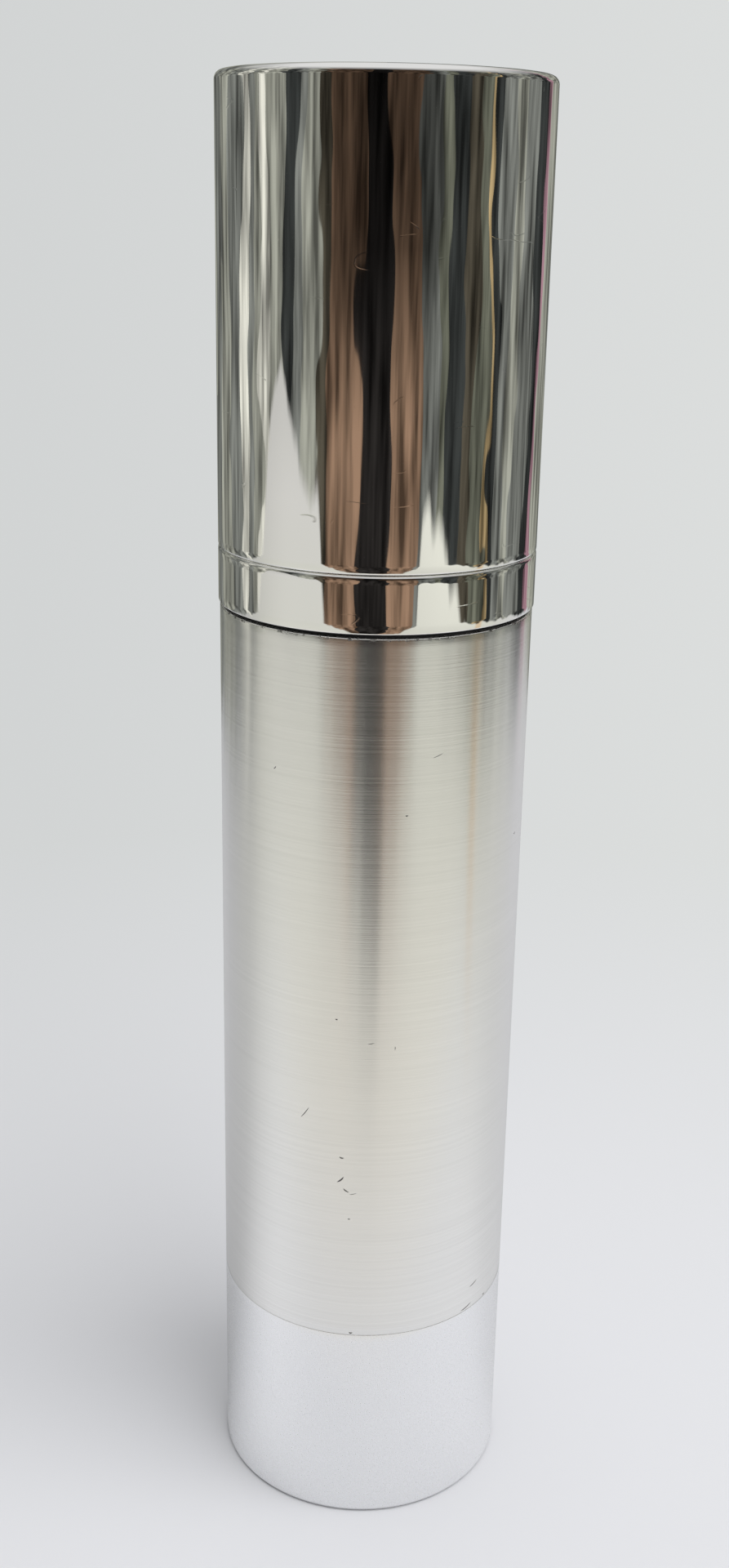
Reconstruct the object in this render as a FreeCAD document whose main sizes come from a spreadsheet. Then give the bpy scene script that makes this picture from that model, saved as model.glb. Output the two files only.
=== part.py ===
"""Airless pump bottle: a slim cosmetic bottle with overcap, dosing pump and rising follower piston.

Every piece is modelled where it sits in the closed bottle. The origin is the middle of the foot,
+Z runs up the bottle's axis and the outlet faces -Y. Lengths are in millimetres.
"""
import FreeCAD, Part
import math
import os
from types import SimpleNamespace

import Sketcher

SHEET = "Sizes"

DRIVING_SIZES = {
    # outside, as seen with the cap on
    "sleeve_radius": 14.0,
    "sleeve_wall": 0.5,
    "sleeve_length": 68.05,
    "sleeve_edge_round": 0.12,
    "base_height": 20.7,
    "base_wall": 0.7,
    "base_edge_round": 0.4,
    "foot_width": 1.6,
    "foot_recess": 0.6,
    "vent_radius": 0.8,
    "rim_overhang": 0.13,
    "shadow_gap": 0.35,
    "collar_height": 4.95,
    "collar_wall": 0.5,
    "collar_edge_round": 0.35,
    "collar_lip_round": 0.12,
    "spigot_step": 2.53,
    "spigot_height": 6.4,
    "cap_height": 38.75,
    "cap_wall": 0.5,
    "cap_edge_round": 0.7,
    "cap_rim_round": 0.15,
    # fits
    "fit_gap": 0.1,
    "seal_gap": 0.08,
    "seat_gap": 0.05,
    "slide_gap": 0.3,
    "cap_slide_gap": 0.2,
    "end_gap": 0.6,
    "cut_overrun": 1.0,
    # cap liner
    "liner_wall": 0.8,
    "liner_rim": 1.0,
    "liner_set_back": 0.3,
    "liner_rib_width": 0.7,
    "snap_height": 2.4,
    "snap_slope": 0.3,
    "snap_land": 0.6,
    # base plug
    "plug_wall": 0.7,
    "plug_floor": 1.3,
    "plug_lip": 5.0,
    "plug_ring_height": 2.4,
    "plug_ring_wall": 1.0,
    "plug_rib_width": 0.8,
    "plug_rib_height": 1.0,
    "plug_hub_radius": 3.0,
    # reservoir
    "reservoir_wall": 1.0,
    "shoulder_wall": 1.2,
    "shoulder_width": 3.6,
    "shoulder_round": 1.0,
    "neck_height": 6.5,
    "neck_wall": 1.2,
    "neck_drop": 2.75,
    "neck_bead": 0.4,
    "bead_drop": 1.2,
    "bead_land": 0.8,
    "bead_gap": 0.2,
    # closure ring
    "closure_wall": 0.8,
    "closure_neck_wall": 1.2,
    "closure_shelf": 1.2,
    "closure_lip": 1.1,
    "closure_lip_reach": 1.1,
    "closure_bead": 0.45,
    "closure_bead_land": 0.4,
    "closure_foot_gap": 0.8,
    "closure_skirt_gap": 2.0,
    "slit_width": 0.8,
    "slit_height": 4.5,
    # gasket, pump housing and inlet valve
    "gasket_thickness": 0.8,
    "flange_thickness": 1.2,
    "chamber_radius": 4.2,
    "chamber_wall": 1.0,
    "nose_wall": 1.35,
    "port_radius": 0.9,
    "port_length": 1.5,
    "ball_radius": 1.6,
    "ball_gap": 0.25,
    "ball_lift": 0.8,
    "cage_thickness": 0.8,
    "cage_slot_width": 0.7,
    # stem guide
    "guide_flange": 1.2,
    "guide_flange_reach": 2.3,
    "guide_skirt": 2.6,
    "guide_skirt_wall": 0.75,
    "guide_roof": 0.4,
    "guide_boss_wall": 0.9,
    "guide_boss_height": 1.8,
    # stem, valve plug and pump piston
    "stroke": 5.0,
    "stem_radius": 2.5,
    "stem_bore": 1.3,
    "stem_edge": 0.4,
    "notch_width": 0.8,
    "notch_height": 1.2,
    "valve_flange": 1.2,
    "valve_overlap": 1.2,
    "valve_edge": 0.6,
    "valve_bar_width": 0.7,
    "valve_bar_height": 3.5,
    "piston_height": 5.6,
    "piston_stop_gap": 0.3,
    "piston_hub_wall": 0.75,
    "piston_waist_gap": 0.4,
    "piston_lip_tip": 0.17,
    "piston_lip_set": 0.2,
    "piston_lip_land": 0.8,
    "piston_lip_slope": 0.9,
    "piston_groove": 1.3,
    "piston_groove_width": 0.3,
    # return spring
    "spring_wire": 0.6,
    "spring_clear": 0.45,
    "spring_coil_gap": 0.45,
    # actuator
    "actuator_height": 26.5,
    "actuator_wall": 0.5,
    "actuator_rim": 1.0,
    "actuator_dish": 1.0,
    "actuator_edge_round": 0.6,
    "core_wall": 0.8,
    "core_deck": 1.2,
    "core_skirt_set_back": 2.0,
    "socket_wall": 1.0,
    "socket_nose": 4.0,
    "socket_depth": 7.0,
    "column_wall": 2.6,
    "riser_radius": 1.3,
    "channel_radius": 1.0,
    "outlet_drop": 7.5,
    "spout_wall": 1.1,
    "core_rib_width": 0.9,
    "core_rib_height": 3.0,
    "nozzle_radius": 1.9,
    "nozzle_bore": 0.8,
    "nozzle_length": 4.6,
    "nozzle_proud": 0.9,
    "nozzle_edge": 0.35,
    "nozzle_mouth": 0.4,
    # follower piston
    "follower_wall": 0.9,
    "follower_rest_gap": 0.2,
    "follower_foot_gap": 1.1,
    "follower_waist_gap": 0.6,
    "follower_skirt_wall": 0.8,
    "follower_lip_tip": 0.3,
    "follower_lip_land": 0.8,
    "follower_lip_slope": 0.9,
    "follower_groove": 1.3,
    "follower_groove_width": 0.9,
    "follower_rib_width": 0.9,
    "follower_rib_height": 4.0,
    "well_gap": 0.8,
}

LINER_RIBS = 12
PLUG_RIBS = 8
CLOSURE_SLITS = 6
CAGE_SLOTS = 4
STEM_NOTCHES = 4
CORE_RIBS = 5
FOLLOWER_RIBS = 6
SPRING_TURNS = 6
SPRING_STEPS_PER_TURN = 4
SPRING_GAP_POINTS_PER_TURN = 60
VALVE_BARS = 2
SAME_PLACE = 1e-5
SEAT_SLANT_SHARE = math.sqrt(2)
SPOUT_END_SHARE = 0.25
HALF_SHARE = 0.5
TURN_DEGREES = 360
QUARTER_DEGREES = 90


class Size:
    """A length: the sheet expression that gives it, and its value."""

    def __init__(self, text, value):
        self.text = text
        self.value = value

    def __add__(self, other):
        return Size(f"({self.text} + {other.text})", self.value + other.value)

    def __sub__(self, other):
        return Size(f"({self.text} - {other.text})", self.value - other.value)

    def __mul__(self, share):
        return Size(f"({self.text} * {share})", self.value * share)

    def __neg__(self):
        return Size(f"(-{self.text})", -self.value)


ZERO = Size("0", 0.0)


def fill_sheet(doc):
    """Write the driving sizes to the sheet and return them by name."""
    sheet = doc.addObject("Spreadsheet::Sheet", SHEET)
    for row, (name, value) in enumerate(DRIVING_SIZES.items(), start=1):
        sheet.set(f"A{row}", name)
        sheet.set(f"B{row}", str(value))
        sheet.setAlias(f"B{row}", name)
    doc.recompute()
    sizes = {name: Size(f"{SHEET}.{name}", float(sheet.get(name))) for name in DRIVING_SIZES}
    return SimpleNamespace(**sizes)


doc = FreeCAD.newDocument("airless_pump_bottle")
s = fill_sheet(doc)


# Radii, from the outside inwards
sleeve_bore = s.sleeve_radius - s.sleeve_wall
base_bore = s.sleeve_radius - s.base_wall
lip_radius = sleeve_bore - s.fit_gap
plug_radius = base_bore - s.fit_gap
plug_bore = lip_radius - s.plug_wall
reservoir_radius = plug_bore - s.fit_gap
reservoir_bore = reservoir_radius - s.reservoir_wall
neck_radius = reservoir_radius - s.shoulder_width
neck_bore = neck_radius - s.neck_wall
collar_radius = s.sleeve_radius + s.rim_overhang
collar_bore = collar_radius - s.collar_wall
spigot_radius = collar_radius - s.spigot_step
closure_spigot_radius = spigot_radius - s.collar_wall - s.fit_gap
closure_bore = closure_spigot_radius - s.closure_wall
actuator_radius = closure_bore - s.slide_gap
actuator_bore = actuator_radius - s.actuator_wall
core_radius = actuator_bore - s.fit_gap
core_bore = core_radius - s.core_wall
cap_bore = collar_radius - s.cap_wall
liner_bore = spigot_radius + s.cap_slide_gap
liner_radius = liner_bore + s.liner_wall
liner_rim_radius = cap_bore - s.fit_gap
housing_radius = s.chamber_radius + s.chamber_wall
pocket_radius = s.ball_radius + s.ball_gap
nose_radius = pocket_radius + s.nose_wall
guide_bore = s.stem_radius + s.fit_gap
guide_skirt_radius = s.chamber_radius - s.seat_gap
guide_flange_radius = s.chamber_radius + s.guide_flange_reach
guide_boss_radius = guide_bore + s.guide_boss_wall
socket_bore = s.stem_radius + s.seal_gap
socket_radius = socket_bore + s.socket_wall
column_radius = socket_bore + s.column_wall
spring_radius = socket_radius + s.spring_clear + s.spring_wire * HALF_SHARE

# Heights of the outside
panel_top = s.foot_recess + s.base_wall
sleeve_top = s.base_height + s.sleeve_length
collar_bottom = sleeve_top + s.shadow_gap
collar_top = collar_bottom + s.collar_height
spigot_top = collar_top + s.spigot_height
cap_top = collar_top + s.cap_height
cap_roof = cap_top - s.cap_wall

# Heights of the reservoir and of what the closure clamps on its neck
plug_floor_top = panel_top + s.plug_floor
plug_ring_top = plug_floor_top + s.plug_ring_height
neck_top = sleeve_top - s.neck_drop
shoulder_top = neck_top - s.neck_height
shoulder_roof = shoulder_top - s.shoulder_wall
gasket_top = neck_top + s.gasket_thickness
flange_top = gasket_top + s.flange_thickness
guide_top = flange_top + s.guide_flange
closure_floor = guide_top + s.fit_gap + s.closure_lip

# Heights of the pump, with the actuator up
guide_skirt_bottom = flange_top - s.guide_skirt
piston_top = guide_skirt_bottom - s.piston_stop_gap
piston_bottom = piston_top - s.piston_height
stem_bottom = piston_bottom - s.seat_gap
valve_bottom = stem_bottom - s.valve_flange
cage_top = valve_bottom - s.stroke - s.end_gap
chamber_floor = cage_top - s.cage_thickness
ball_height = chamber_floor - s.seat_gap - s.ball_radius - s.ball_lift
port_top = ball_height + s.port_radius - (s.ball_radius + s.seat_gap) * SEAT_SLANT_SHARE
housing_bottom = port_top - s.port_length
guide_boss_top = guide_top + s.guide_boss_height
socket_bottom = guide_boss_top + s.stroke + s.end_gap
spring_roof = socket_bottom + s.socket_nose
stem_top = socket_bottom + s.socket_depth
actuator_bottom = closure_floor + s.stroke + s.end_gap
actuator_top = actuator_bottom + s.actuator_height
deck_top = actuator_top - s.actuator_dish - s.actuator_wall - s.fit_gap
deck_roof = deck_top - s.core_deck
outlet_height = actuator_top - s.outlet_drop
nozzle_tip = actuator_radius + s.nozzle_proud
nozzle_seat = nozzle_tip - s.nozzle_length

# Heights of the follower piston, at the bottom of its travel
follower_bottom = plug_ring_top + s.follower_rest_gap
well_depth = shoulder_roof - housing_bottom + s.end_gap
follower_top = follower_bottom + s.follower_foot_gap + s.follower_wall + well_depth


def new_body(label):
    body = doc.addObject("PartDesign::Body", label)
    body.Label = label
    return body


def new_sketch(body, role, height=ZERO):
    """A sketch on one of the body's origin planes, moved along the plane's normal by height."""
    plane = next(item for item in body.Origin.OriginFeatures if item.Role == role)
    sketch = body.newObject("Sketcher::SketchObject", f"{body.Label}_sketch")
    sketch.AttachmentSupport = [(plane, "")]
    sketch.MapMode = "FlatFace"
    sketch.setExpression("AttachmentOffset.Base.z", height.text)
    return sketch


def pin(sketch, curve, point, across, along):
    """Hold one point of a sketch curve at a place given in sheet sizes."""
    for kind, axis, size in (("DistanceX", -2, across), ("DistanceY", -1, along)):
        if size is ZERO:
            sketch.addConstraint(Sketcher.Constraint("PointOnObject", curve, point, axis))
            continue
        index = sketch.addConstraint(Sketcher.Constraint(kind, -1, 1, curve, point, size.value))
        sketch.setExpression(f"Constraints[{index}]", size.text)


def dish_arc(rim, middle):
    """The arc from a rim point to a point on the axis, centred on the axis."""
    rise = rim.y - middle.y
    radius = (rim.x ** 2 + rise ** 2) / (2 * rise)
    centre = FreeCAD.Vector(0, middle.y + radius, 0)
    circle = Part.Circle(centre, FreeCAD.Vector(0, 0, 1), radius)
    return Part.ArcOfCircle(circle, circle.parameter(middle), circle.parameter(rim))


def draw_outline(sketch, corners, dishes_to_axis=(), dishes_from_axis=()):
    """A closed outline through the corners. The edges that leave the corners named as dishes are arcs."""
    places = [FreeCAD.Vector(across.value, along.value, 0) for across, along in corners]
    count = len(corners)
    ends = []
    for index in range(count):
        here = places[index]
        there = places[(index + 1) % count]
        if index in dishes_to_axis:
            curve = sketch.addGeometry(dish_arc(here, there), False)
            ends.append((curve, 2, 1))
        elif index in dishes_from_axis:
            curve = sketch.addGeometry(dish_arc(there, here), False)
            ends.append((curve, 1, 2))
        else:
            curve = sketch.addGeometry(Part.LineSegment(here, there), False)
            ends.append((curve, 1, 2))
    for index, (curve, start, finish) in enumerate(ends):
        following, following_start, _ = ends[(index + 1) % count]
        sketch.addConstraint(Sketcher.Constraint("Coincident", curve, finish, following, following_start))
        pin(sketch, curve, start, *corners[index])
        if index in dishes_to_axis or index in dishes_from_axis:
            sketch.addConstraint(Sketcher.Constraint("PointOnObject", curve, 3, -2))


def draw_circle(sketch, radius, along=ZERO):
    centre = FreeCAD.Vector(0, along.value, 0)
    curve = sketch.addGeometry(Part.Circle(centre, FreeCAD.Vector(0, 0, 1), radius.value), False)
    pin(sketch, curve, 3, ZERO, along)
    index = sketch.addConstraint(Sketcher.Constraint("Radius", curve, radius.value))
    sketch.setExpression(f"Constraints[{index}]", radius.text)


def draw_bar(sketch, inner, outer, width):
    """A bar along the sketch's first axis, from inner to outer, centred across it."""
    half = width * HALF_SHARE
    draw_outline(sketch, [(inner, -half), (outer, -half), (outer, half), (inner, half)])


def revolve(body, corners, **dishes):
    sketch = new_sketch(body, "XZ_Plane")
    draw_outline(sketch, corners, **dishes)
    feature = body.newObject("PartDesign::Revolution", f"{body.Label}_revolution")
    feature.Profile = sketch
    feature.ReferenceAxis = (sketch, ["V_Axis"])
    feature.Angle = TURN_DEGREES
    doc.recompute()
    return feature


def pad(body, sketch, length):
    feature = body.newObject("PartDesign::Pad", f"{body.Label}_pad")
    feature.Profile = sketch
    feature.setExpression("Length", length.text)
    doc.recompute()
    return feature


def pocket(body, sketch, length, along_normal=False):
    """Cut the sketch out of the body, against its normal or along it, and see that material went."""
    before = body.Shape.Volume
    feature = body.newObject("PartDesign::Pocket", f"{body.Label}_pocket")
    feature.Profile = sketch
    feature.Reversed = along_normal
    feature.setExpression("Length", length.text)
    doc.recompute()
    if body.Shape.Volume >= before:
        raise RuntimeError(f"{feature.Name} cuts nothing")
    return feature


def polar_pattern(body, feature, sketch, count, angle=TURN_DEGREES):
    pattern = body.newObject("PartDesign::PolarPattern", f"{body.Label}_pattern")
    pattern.Originals = [feature]
    pattern.Axis = (sketch, ["N_Axis"])
    pattern.Angle = angle
    pattern.Occurrences = count
    body.Tip = pattern
    doc.recompute()
    return pattern


def rim_edges(shape, places):
    """Names of the circular edges about the axis at the given radii and heights."""
    names = []
    for number, edge in enumerate(shape.Edges, start=1):
        if edge.Degenerated or not isinstance(edge.Curve, Part.Circle):
            continue
        for radius, height in places:
            same_radius = math.isclose(edge.Curve.Radius, radius.value, abs_tol=SAME_PLACE)
            same_height = math.isclose(edge.Curve.Center.z, height.value, abs_tol=SAME_PLACE)
            if same_radius and same_height:
                names.append(f"Edge{number}")
    return names


def dress(body, kind, size_name, places, size):
    """Round or bevel the rims at the given radii and heights."""
    base = body.Tip
    names = rim_edges(base.Shape, places)
    if len(names) != len(places):
        raise RuntimeError(f"{body.Label}: found {len(names)} of {len(places)} rims")
    feature = body.newObject(f"PartDesign::{kind}", f"{body.Label}_{kind.lower()}")
    feature.Base = (base, names)
    feature.setExpression(size_name, size.text)
    doc.recompute()
    return feature


def round_rims(body, places, radius):
    return dress(body, "Fillet", "Radius", places, radius)


def bevel_rims(body, places, width):
    return dress(body, "Chamfer", "Size", places, width)


def cut_hole(body, radius, bottom, depth):
    """A round hole on the axis, upwards from bottom."""
    sketch = new_sketch(body, "XY_Plane", bottom)
    draw_circle(sketch, radius)
    return pocket(body, sketch, depth, along_normal=True)


def add_ribs(body, inner, outer, width, bottom, height, count):
    """Radial ribs, evenly spaced round the axis."""
    sketch = new_sketch(body, "XY_Plane", bottom)
    draw_bar(sketch, inner, outer, width)
    return polar_pattern(body, pad(body, sketch, height), sketch, count)


def cut_slots(body, outer, width, bottom, height, count):
    """Radial slots from the axis outwards, cut upwards and evenly spaced round the axis."""
    sketch = new_sketch(body, "XY_Plane", bottom)
    draw_bar(sketch, ZERO, outer, width)
    return polar_pattern(body, pocket(body, sketch, height, along_normal=True), sketch, count)


def tube(label, outer, inner, bottom, length):
    body = new_body(label)
    sketch = new_sketch(body, "XY_Plane", bottom)
    draw_circle(sketch, outer)
    draw_circle(sketch, inner)
    pad(body, sketch, length)
    return body


def build_base_shell():
    """Drawn cup with a flat foot ring, a raised panel inside it and the air vent."""
    foot_inner = s.sleeve_radius - s.base_edge_round - s.foot_width
    panel_radius = foot_inner - s.foot_recess
    body = new_body("base_shell")
    revolve(body, [
        (ZERO, s.foot_recess),
        (panel_radius, s.foot_recess),
        (foot_inner, ZERO),
        (s.sleeve_radius, ZERO),
        (s.sleeve_radius, s.base_height),
        (base_bore, s.base_height),
        (base_bore, s.base_wall),
        (foot_inner, s.base_wall),
        (panel_radius, panel_top),
        (ZERO, panel_top),
    ])
    round_rims(body, [(s.sleeve_radius, ZERO)], s.base_edge_round)
    cut_hole(body, s.vent_radius, ZERO, panel_top + s.cut_overrun)
    return body


def build_base_plug():
    """Moulded cup that joins base and sleeve, centres the reservoir and lets air in below the follower."""
    ring_radius = reservoir_bore - s.fit_gap
    ring_bore = ring_radius - s.plug_ring_wall
    lip_top = s.base_height + s.plug_lip
    body = new_body("base_plug")
    revolve(body, [
        (ZERO, panel_top),
        (plug_radius, panel_top),
        (plug_radius, s.base_height),
        (lip_radius, s.base_height),
        (lip_radius, lip_top),
        (plug_bore, lip_top),
        (plug_bore, plug_floor_top),
        (ring_radius, plug_floor_top),
        (ring_radius, plug_ring_top),
        (ring_bore, plug_ring_top),
        (ring_bore, plug_floor_top),
        (ZERO, plug_floor_top),
    ])
    rib_end = ring_bore + s.plug_ring_wall * HALF_SHARE
    rib_start = s.plug_hub_radius
    add_ribs(body, rib_start, rib_end, s.plug_rib_width, plug_floor_top, s.plug_rib_height, PLUG_RIBS)
    cut_hole(body, s.vent_radius, panel_top, s.plug_floor + s.cut_overrun)
    return body


def build_reservoir():
    """Inner bottle, open below, with a snap bead round its neck."""
    bead_radius = neck_radius + s.neck_bead
    bead_top = neck_top - s.bead_drop
    bead_bottom = bead_top - s.bead_land
    body = new_body("reservoir")
    revolve(body, [
        (reservoir_bore, plug_floor_top),
        (reservoir_radius, plug_floor_top),
        (reservoir_radius, shoulder_top),
        (neck_radius, shoulder_top),
        (neck_radius, bead_bottom - s.neck_bead),
        (bead_radius, bead_bottom),
        (bead_radius, bead_top),
        (neck_radius, bead_top + s.neck_bead),
        (neck_radius, neck_top),
        (neck_bore, neck_top),
        (neck_bore, shoulder_roof),
        (reservoir_bore, shoulder_roof),
    ])
    round_rims(body, [(reservoir_radius, shoulder_top)], s.shoulder_round)
    return body


def build_outer_sleeve():
    body = tube("outer_sleeve", s.sleeve_radius, sleeve_bore, s.base_height, s.sleeve_length)
    round_rims(body, [(s.sleeve_radius, sleeve_top)], s.sleeve_edge_round)
    return body


def build_collar_shell():
    """Drawn ring: the band below the cap, a shelf, and the spigot that the cap slides on."""
    roll_radius = closure_bore + s.fit_gap
    shelf_roof = collar_top - s.collar_wall
    roll_roof = spigot_top - s.collar_wall
    spigot_bore = spigot_radius - s.collar_wall
    body = new_body("collar_shell")
    revolve(body, [
        (collar_bore, collar_bottom),
        (collar_radius, collar_bottom),
        (collar_radius, collar_top),
        (spigot_radius, collar_top),
        (spigot_radius, spigot_top),
        (roll_radius, spigot_top),
        (roll_radius, roll_roof),
        (spigot_bore, roll_roof),
        (spigot_bore, shelf_roof),
        (collar_bore, shelf_roof),
    ])
    round_rims(body, [(collar_radius, collar_top), (spigot_radius, spigot_top)], s.collar_edge_round)
    round_rims(body, [(collar_radius, collar_bottom)], s.collar_lip_round)
    return body


def build_closure_ring():
    """Moulded ring: a skirt that snaps on the neck, a skirt in the sleeve, and the spigot's core."""
    neck_skirt_bore = neck_radius + s.neck_bead + s.bead_gap
    neck_skirt_radius = neck_skirt_bore + s.closure_neck_wall
    neck_skirt_bottom = shoulder_top + s.closure_foot_gap
    outer_skirt_bore = lip_radius - s.closure_wall
    outer_skirt_bottom = shoulder_top + s.closure_skirt_gap
    recess_radius = guide_flange_radius + s.fit_gap
    opening_radius = recess_radius - s.closure_lip_reach
    recess_roof = guide_top + s.fit_gap
    band_radius = collar_bore - s.fit_gap
    shelf_top = collar_top - s.collar_wall
    shelf_roof = shelf_top - s.closure_shelf
    core_top = spigot_top - s.collar_wall
    bead_top = neck_top - s.bead_drop - s.bead_land - s.bead_gap
    bead_radius = neck_skirt_bore - s.closure_bead
    bead_land_top = bead_top - s.closure_bead
    bead_land_bottom = bead_land_top - s.closure_bead_land
    body = new_body("closure_ring")
    revolve(body, [
        (opening_radius, recess_roof),
        (recess_radius, recess_roof),
        (recess_radius, flange_top),
        (neck_skirt_bore, flange_top),
        (neck_skirt_bore, bead_top),
        (bead_radius, bead_land_top),
        (bead_radius, bead_land_bottom),
        (neck_skirt_bore, bead_land_bottom - s.closure_bead),
        (neck_skirt_bore, neck_skirt_bottom),
        (neck_skirt_radius, neck_skirt_bottom),
        (neck_skirt_radius, flange_top),
        (closure_spigot_radius, flange_top),
        (closure_spigot_radius, shelf_roof),
        (outer_skirt_bore, shelf_roof),
        (outer_skirt_bore, outer_skirt_bottom),
        (lip_radius, outer_skirt_bottom),
        (lip_radius, collar_bottom),
        (band_radius, collar_bottom),
        (band_radius, shelf_top),
        (closure_spigot_radius, shelf_top),
        (closure_spigot_radius, core_top),
        (closure_bore, core_top),
        (closure_bore, closure_floor),
        (opening_radius, closure_floor),
    ])
    slit_end = neck_skirt_radius + (outer_skirt_bore - neck_skirt_radius) * HALF_SHARE
    cut_slots(body, slit_end, s.slit_width, neck_skirt_bottom, s.slit_height, CLOSURE_SLITS)
    return body


def build_neck_gasket():
    return tube("neck_gasket", neck_radius, neck_bore, neck_top, s.gasket_thickness)


def build_pump_housing():
    """Dosing chamber that hangs in the neck, with the ball's pocket, its seat and the inlet below."""
    nose_top = chamber_floor - (housing_radius - nose_radius)
    seat_top = port_top + (pocket_radius - s.port_radius)
    body = new_body("pump_housing")
    revolve(body, [
        (s.port_radius, housing_bottom),
        (nose_radius, housing_bottom),
        (nose_radius, nose_top),
        (housing_radius, chamber_floor),
        (housing_radius, gasket_top),
        (neck_radius, gasket_top),
        (neck_radius, flange_top),
        (s.chamber_radius, flange_top),
        (s.chamber_radius, chamber_floor),
        (pocket_radius, chamber_floor),
        (pocket_radius, seat_top),
        (s.port_radius, port_top),
    ])
    return body


def build_ball_cage():
    """Disc on the chamber's floor, with a cross of slots that lets product past but not the ball."""
    body = new_body("ball_cage")
    sketch = new_sketch(body, "XY_Plane", chamber_floor)
    draw_circle(sketch, s.chamber_radius - s.fit_gap)
    pad(body, sketch, s.cage_thickness)
    depth = s.cage_thickness + s.cut_overrun
    cut_slots(body, pocket_radius, s.cage_slot_width, chamber_floor, depth, CAGE_SLOTS)
    return body


def build_inlet_ball():
    ball = doc.addObject("Part::Sphere", "inlet_ball")
    ball.Label = "inlet_ball"
    ball.setExpression("Radius", s.ball_radius.text)
    ball.setExpression("Placement.Base.z", ball_height.text)
    return ball


def build_stem_guide():
    """Ring in the top of the chamber: stops the piston, guides the stem and carries the spring."""
    hollow_radius = guide_skirt_radius - s.guide_skirt_wall
    hollow_roof = flange_top - s.guide_roof
    body = new_body("stem_guide")
    revolve(body, [
        (hollow_radius, guide_skirt_bottom),
        (guide_skirt_radius, guide_skirt_bottom),
        (guide_skirt_radius, flange_top),
        (guide_flange_radius, flange_top),
        (guide_flange_radius, guide_top),
        (guide_boss_radius, guide_top),
        (guide_boss_radius, guide_boss_top),
        (guide_bore, guide_boss_top),
        (guide_bore, hollow_roof),
        (hollow_radius, hollow_roof),
    ])
    return body


def build_pump_piston():
    """Soft piston with a wiping lip at each end and a bore that slides on the stem."""
    bore = s.stem_radius + s.seal_gap
    hub = bore + s.piston_hub_wall
    lip = s.chamber_radius - s.seal_gap
    lip_inside = lip - s.piston_lip_tip
    waist = s.chamber_radius - s.piston_waist_gap
    groove = hub + s.piston_groove_width
    low_tip = piston_bottom + s.piston_lip_set
    low_land = low_tip + s.piston_lip_land
    high_tip = piston_top - s.piston_lip_set
    high_land = high_tip - s.piston_lip_land
    body = new_body("pump_piston")
    revolve(body, [
        (bore, piston_bottom),
        (hub, piston_bottom),
        (groove, piston_bottom + s.piston_groove),
        (lip_inside, low_tip),
        (lip, low_tip),
        (lip, low_land),
        (waist, low_land + s.piston_lip_slope),
        (waist, high_land - s.piston_lip_slope),
        (lip, high_land),
        (lip, high_tip),
        (lip_inside, high_tip),
        (groove, piston_top - s.piston_groove),
        (hub, piston_top),
        (bore, piston_top),
    ])
    return body


def build_stem():
    """Hollow stem, notched at its foot where product enters when the piston lags behind."""
    body = new_body("stem")
    revolve(body, [
        (s.stem_bore, stem_bottom),
        (s.stem_radius, stem_bottom),
        (s.stem_radius, stem_top),
        (s.stem_bore, stem_top),
    ])
    bevel_rims(body, [(s.stem_radius, stem_top)], s.stem_edge)
    notch_end = s.stem_radius + s.cut_overrun
    cut_slots(body, notch_end, s.notch_width, stem_bottom, s.notch_height, STEM_NOTCHES)
    return body


def build_valve_plug():
    """Plug pressed into the stem's foot by a cross of bars. Its flange closes the piston's bore at rest."""
    flange_radius = s.stem_radius + s.valve_overlap
    body = new_body("valve_plug")
    revolve(body, [
        (ZERO, valve_bottom),
        (flange_radius - s.valve_edge, valve_bottom),
        (flange_radius, valve_bottom + s.valve_edge),
        (flange_radius, stem_bottom),
        (ZERO, stem_bottom),
    ])
    reach = s.stem_bore - s.fit_gap
    sketch = new_sketch(body, "XY_Plane", stem_bottom)
    draw_bar(sketch, -reach, reach, s.valve_bar_width)
    bars = pad(body, sketch, s.valve_bar_height)
    polar_pattern(body, bars, sketch, VALVE_BARS, QUARTER_DEGREES)
    return body


def spring_place(turn, bottom, coil_rise, middle_rise):
    """Centre of the wire and its direction, a number of turns up the spring. The end turns lie closer."""
    closed = min(turn, 1) + max(turn - (SPRING_TURNS - 1), 0)
    rise = coil_rise if turn < 1 or turn > SPRING_TURNS - 1 else middle_rise
    if turn in (1, SPRING_TURNS - 1):
        rise = (coil_rise + middle_rise) * HALF_SHARE
    height = bottom + closed * coil_rise + (turn - closed) * middle_rise
    angle = 2 * math.pi * turn
    radius = spring_radius.value
    place = FreeCAD.Vector(radius * math.cos(angle), radius * math.sin(angle), height)
    along = FreeCAD.Vector(-radius * math.sin(angle), radius * math.cos(angle), rise / (2 * math.pi))
    return place, along.normalize()


def arc_through(start, corner, finish):
    """The arc from start to finish whose end tangents meet in corner."""
    middle = (start + finish) * HALF_SHARE
    half_chord = (finish - start).Length * HALF_SHARE
    tilt = math.acos(half_chord / (corner - start).Length)
    sag = half_chord * math.tan(tilt * HALF_SHARE)
    top = middle + (corner - middle).normalize() * sag
    return Part.Arc(start, top, finish).toShape()


def biarc(start, start_way, finish, finish_way):
    """Two arcs that join two places and take up the way of each."""
    step = finish - start
    ways = start_way + finish_way
    bend = 2 * (1 - start_way.dot(finish_way))
    lean = step.dot(ways)
    reach = (math.sqrt(lean ** 2 + bend * step.dot(step)) - lean) / bend
    first_corner = start + start_way * reach
    second_corner = finish - finish_way * reach
    joint = (first_corner + second_corner) * HALF_SHARE
    return [arc_through(start, first_corner, joint), arc_through(joint, second_corner, finish)]


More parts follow.
